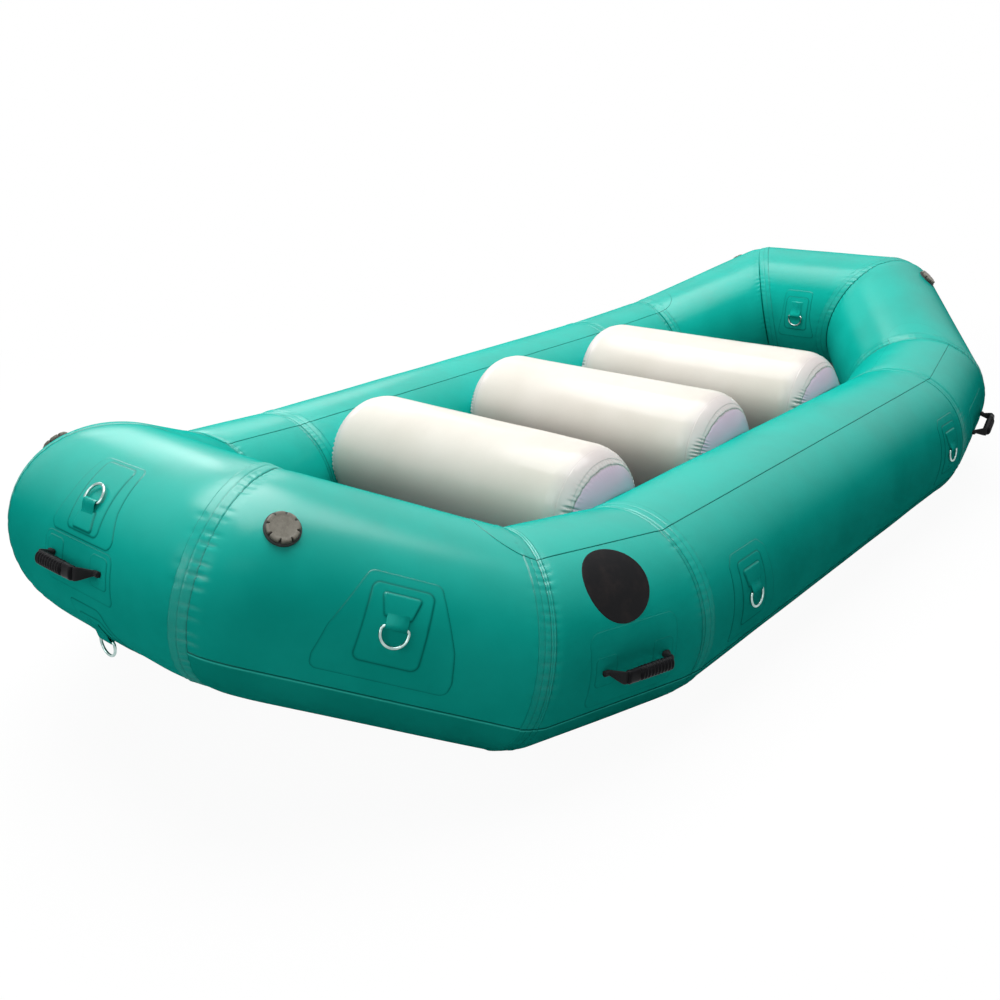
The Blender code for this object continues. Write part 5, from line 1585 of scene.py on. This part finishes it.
# %% [markdown]
# ## Drain flaps and aprons
# Along each edge a flap of fabric closes the gap to the tube, with seven steel eyelets that let
# water out, and an apron closes the gap at each end. Holes could be cut with a Boolean. In a fine
# grid it is enough to leave out the faces in each hole, because the eyelet hides the rough edge.
# Geometry nodes set one eyelet on each point, as suits a part that repeats.

# %% Drain flaps
END_FLAP = ((1.466, 0.190), (1.566, 0.306))
FLAP_Z, FLAP_END, FLAP_LAP, DRAINS, DRAIN_PITCH, DRAIN_R = 0.042, 1.420, 0.008, 7, 0.270, 0.012
FLAP_DROP = LIFT + HALF_THICK - FLAP_Z
EYELET = {"Eyelet radius": DRAIN_R + 0.0016, "Eyelet sides": 28,
          "Bead radius": 0.0022, "Bead sides": 10}


def flap_edges(y):
    inner = clear_width(y, floor_centre(y), RADIUS + HALF_THICK + 0.3 * MM)
    inner = inner + math.sqrt(HALF_THICK ** 2 - FLAP_DROP ** 2)
    return inner, clear_width(y, floor_centre(y) - FLAP_DROP, RADIUS + 1.0 * MM)


def eyelet_group():
    """A turned ring at every point of a bare mesh."""
    group = Group("eyelets", EYELET)
    eye = group.sweep(group.circle("Eyelet radius", "Eyelet sides"),
                      group.circle("Bead radius", "Bead sides"))
    sockets = {"Points": group.start, "Instance": eye}
    return group.close(group.node("GeometryNodeInstanceOnPoints", sockets=sockets), steel_finish)


drain_y = (np.arange(DRAINS) - (DRAINS - 1) / 2) * DRAIN_PITCH
drain_x = sum(flap_edges(drain_y)) / 2
eyelets = eyelet_group()
for side, word in ((1, "port"), (-1, "starboard")):
    y, across = np.linspace(-FLAP_END, FLAP_END, 980)[:, None], np.linspace(0, 1, 26)
    inner, outer = flap_edges(y[:, 0])
    x = (inner - FLAP_LAP)[:, None] * (1 - across) + outer[:, None] * across
    x, y, z = np.broadcast_arrays(x, y, floor_centre(y) - FLAP_DROP)
    away = np.min([np.hypot(x - dx, y - dy) for dx, dy in zip(drain_x, drain_y)], 0)
    flap = grid_mesh(f"{word}_floor_flap", np.stack([side * x, y, z], -1), np.stack([x, y], -1),
                     keep=away > DRAIN_R, flip=side > 0, line=0 * x)
    add_piece(f"{word}_floor_flap", flap, floor_finish, "hull")
    places = [(side * dx, dy, FLAP_Z) for dx, dy in zip(drain_x, drain_y)]
    eyes = eyelets.run(f"{word}_drain_eyelets", places)
    add_piece(f"{word}_drain_eyelets", eyes, steel_finish, "hull")
print(2 * DRAINS, "drain holes")

# %% Aprons
for end, word in ((-1, "bow"), (1, "stern")):
    share = np.linspace(0, 1, 24)
    y, z = (low * (1 - share) + high * share for low, high in zip(*END_FLAP))
    z = z - 6 * MM * np.sin(math.pi * share)
    x = clear_width(y, z, RADIUS + 1.0 * MM)[:, None] * np.linspace(-1, 1, 61)
    apron = np.stack(np.broadcast_arrays(x, end * y[:, None], z[:, None]), -1)
    made = grid_mesh(f"{word}_floor_apron", apron, apron[..., :2], flip=end > 0, line=0 * x)
    add_piece(f"{word}_floor_apron", made, floor_finish, "hull")
print("floor laid")

# %% [markdown]
# ## Disc and inner walls
# A round black disc is printed on the port bow kick. Print has no thickness, but a flat disc that
# floats on a tube would flicker, so it is one more thin patch. The four walls that part the ring
# into air chambers are hidden inside, so their solids stay and only get a fabric.

# %% Disc and inner walls
def print_black(name):
    f = Finish(name)
    where = f.place()
    cloud = f.noise(where, 30.0, 4.0, 0.6)
    fine = f.noise(where, 500.0, 2.0, 0.5)
    tone = f.mix(cloud.above(0.4, 0.8), (0.006, 0.006, 0.007), (0.016, 0.013, 0.013))
    f.bump(fine, 0.04 * MM)
    return f.set(Base_Color=tone, Roughness=cloud * 0.2 + 0.36, Specular_IOR_Level=0.10)


DISC_RADIUS, DISC_PLACE, DISC_DEGREES = 0.0945, 0.44, 42.0
round_outline = [(x, y) for x, y, _ in arc_points(0, 0, DISC_RADIUS, 0, 352.5, 48)]
disc = relief("kick_disc", tubes["bow_port_kick_tube"], kick_length * DISC_PLACE, DISC_DEGREES,
              [(round_outline, 0.020, 0.8 * MM, 0.0)], 1.6 * MM)
add_piece("kick_disc", disc, print_black("disc_print_finish"), "hull")
inner_finish = coated("inner_fabric_finish", (0.26, 0.28, 0.28), (0.21, 0.23, 0.23), 0.6)
for which in ("bow", "stern", "port", "starboard"):
    repaint(which + "_baffle", inner_finish)
print("disc and inner walls finished")

# %% [markdown]
# ## Camera
# The picture was taken from above the port bow, with the camera turned a little round its own
# axis. It could be set by eye, or with a Track To constraint, which can't turn it. The angles here
# were fitted to seams and rings that can be measured in the picture.

# %% Camera
azimuth, elevation, roll = math.radians(41.45), math.radians(21.41), math.radians(1.52)
back = Vector((math.sin(azimuth) * math.cos(elevation), -math.cos(azimuth) * math.cos(elevation),
               math.sin(elevation)))
right = (-back).cross(Vector(UP)).normalized()
down = (-back).cross(right)
right, down = (right * math.cos(roll) + down * math.sin(roll),
               down * math.cos(roll) - right * math.sin(roll))
camera_data = bpy.data.cameras.new("photo_camera")
camera_data.sensor_width, camera_data.lens, camera_data.clip_end = 36.0, 38.27, 200.0
camera = bpy.data.objects.new("photo_camera", camera_data)
turn = Matrix((right, -down, back)).transposed().to_4x4()
camera.matrix_world = Matrix.Translation((2.108, -2.948, 1.520)) @ turn
bpy.context.scene.collection.objects.link(camera)
bpy.context.scene.camera = camera
print("camera set")

# %% [markdown]
# ## Studio floor
# The picture is cut out on white, with a soft shadow under the raft. A white floor alone would
# turn grey away from the lamps, and a lit one would throw its own light up on the fabric. So the
# floor shows almost white to the rays that are seen, and is a plain grey to the light that bounces.

# %% Studio floor
def seen_ray(tree):
    """1 for rays of the camera, of gloss and of glass."""
    camera_ray = tree.node("ShaderNodeLightPath", out="Is Camera Ray")
    rays = camera_ray.socket.node.outputs
    glossy, glass = (Value(tree, rays[key]) for key in ("Is Glossy Ray", "Is Transmission Ray"))
    return camera_ray.at_least(glossy).at_least(glass)


def pale_floor():
    """Pale floor that a seen ray finds almost white, and wholly white far from the object."""
    f = Finish("pale_floor")
    seen = seen_ray(f)
    x, y, _ = f.parts(f.place())
    far = ((x * x + y * y) ** 0.5).above(2.6, 4.6)
    f.set(Base_Color=f.mix(seen, (0.38, 0.38, 0.38), (0.97, 0.97, 0.97)), Roughness=0.9,
          Specular_IOR_Level=0.0)
    glow = f.node("ShaderNodeEmission", sockets={"Color": (1, 1, 1)})
    share, matt = seen * (0.95 + far * 0.05), Value(f, f.shader.outputs[0])
    blend = f.node("ShaderNodeMixShader", sockets={0: share, 1: matt, 2: glow})
    f.feed(f.data.nodes["Material Output"].inputs["Surface"], blend)
    return f.material


ground = np.array([[(-60, -60, 0), (-60, 60, 0)], [(60, -60, 0), (60, 60, 0)]], float)
ground_mesh = grid_mesh("studio_floor", ground)
ground_mesh.materials.append(pale_floor())
studio_floor = bpy.data.objects.new("studio_floor", ground_mesh)
bpy.context.scene.collection.objects.link(studio_floor)
print("studio floor laid")

# %% [markdown]
# ## Lamps and sky
# Wet-looking fabric shows its lamps, so the lamps are chosen by their reflections. A wide one hangs
# over the raft and gives the long sheen on the tubes, a small one makes the bright spot on the bow,
# and the rest lift the shadows. A picture of a sky would colour the fabric, so the world is plain
# white to the eye and almost dark to the light.

# %% Lamps and sky
def lamp(name, place, aim, width, depth, power):
    data = bpy.data.lights.new(name, "AREA")
    data.shape = "RECTANGLE"
    data.size, data.size_y, data.energy = width, depth, power
    made = bpy.data.objects.new(name, data)
    made.location = place
    made.rotation_euler = (Vector(aim) - Vector(place)).to_track_quat("-Z", "Y").to_euler()
    bpy.context.scene.collection.objects.link(made)


lamp("overhead", (-0.9, 0, 6.0), (-0.2, 0, 0), 5.0, 6.0, 510)
lamp("back_left", (-6.0, 3.2, 3.4), (0, 0, 0.3), 3.0, 3.0, 40)
lamp("bow_glint", (-5.3, 0.9, 2.85), (0.0, -1.8, 0.7), 2.0, 1.6, 34)
lamp("bow_fill", (-1.0, -8.0, 4.0), (0, 0, 0.3), 4.0, 4.0, 134)
lamp("front_fill", (5.5, -6.5, 4.5), (0, 0, 0.3), 4.0, 4.0, 100)

world = bpy.data.worlds.new("studio_world")
bpy.context.scene.world = world
world.use_nodes = True
world.node_tree.nodes.clear()
sky = Tree(world.node_tree)
light, white = (
    sky.node("ShaderNodeBackground", sockets={"Color": colour, "Strength": strength})
    for colour, strength in (((0.93, 0.97, 1.0), 0.03), ((1, 1, 1), 1.0)))
blend = sky.node("ShaderNodeMixShader", sockets={0: seen_ray(sky), 1: light, 2: white})
sky.node("ShaderNodeOutputWorld", sockets={"Surface": blend})
bpy.context.scene.view_settings.view_transform = "Standard"
print("lamps and sky set")

# %% Finish
print("scene dressed")
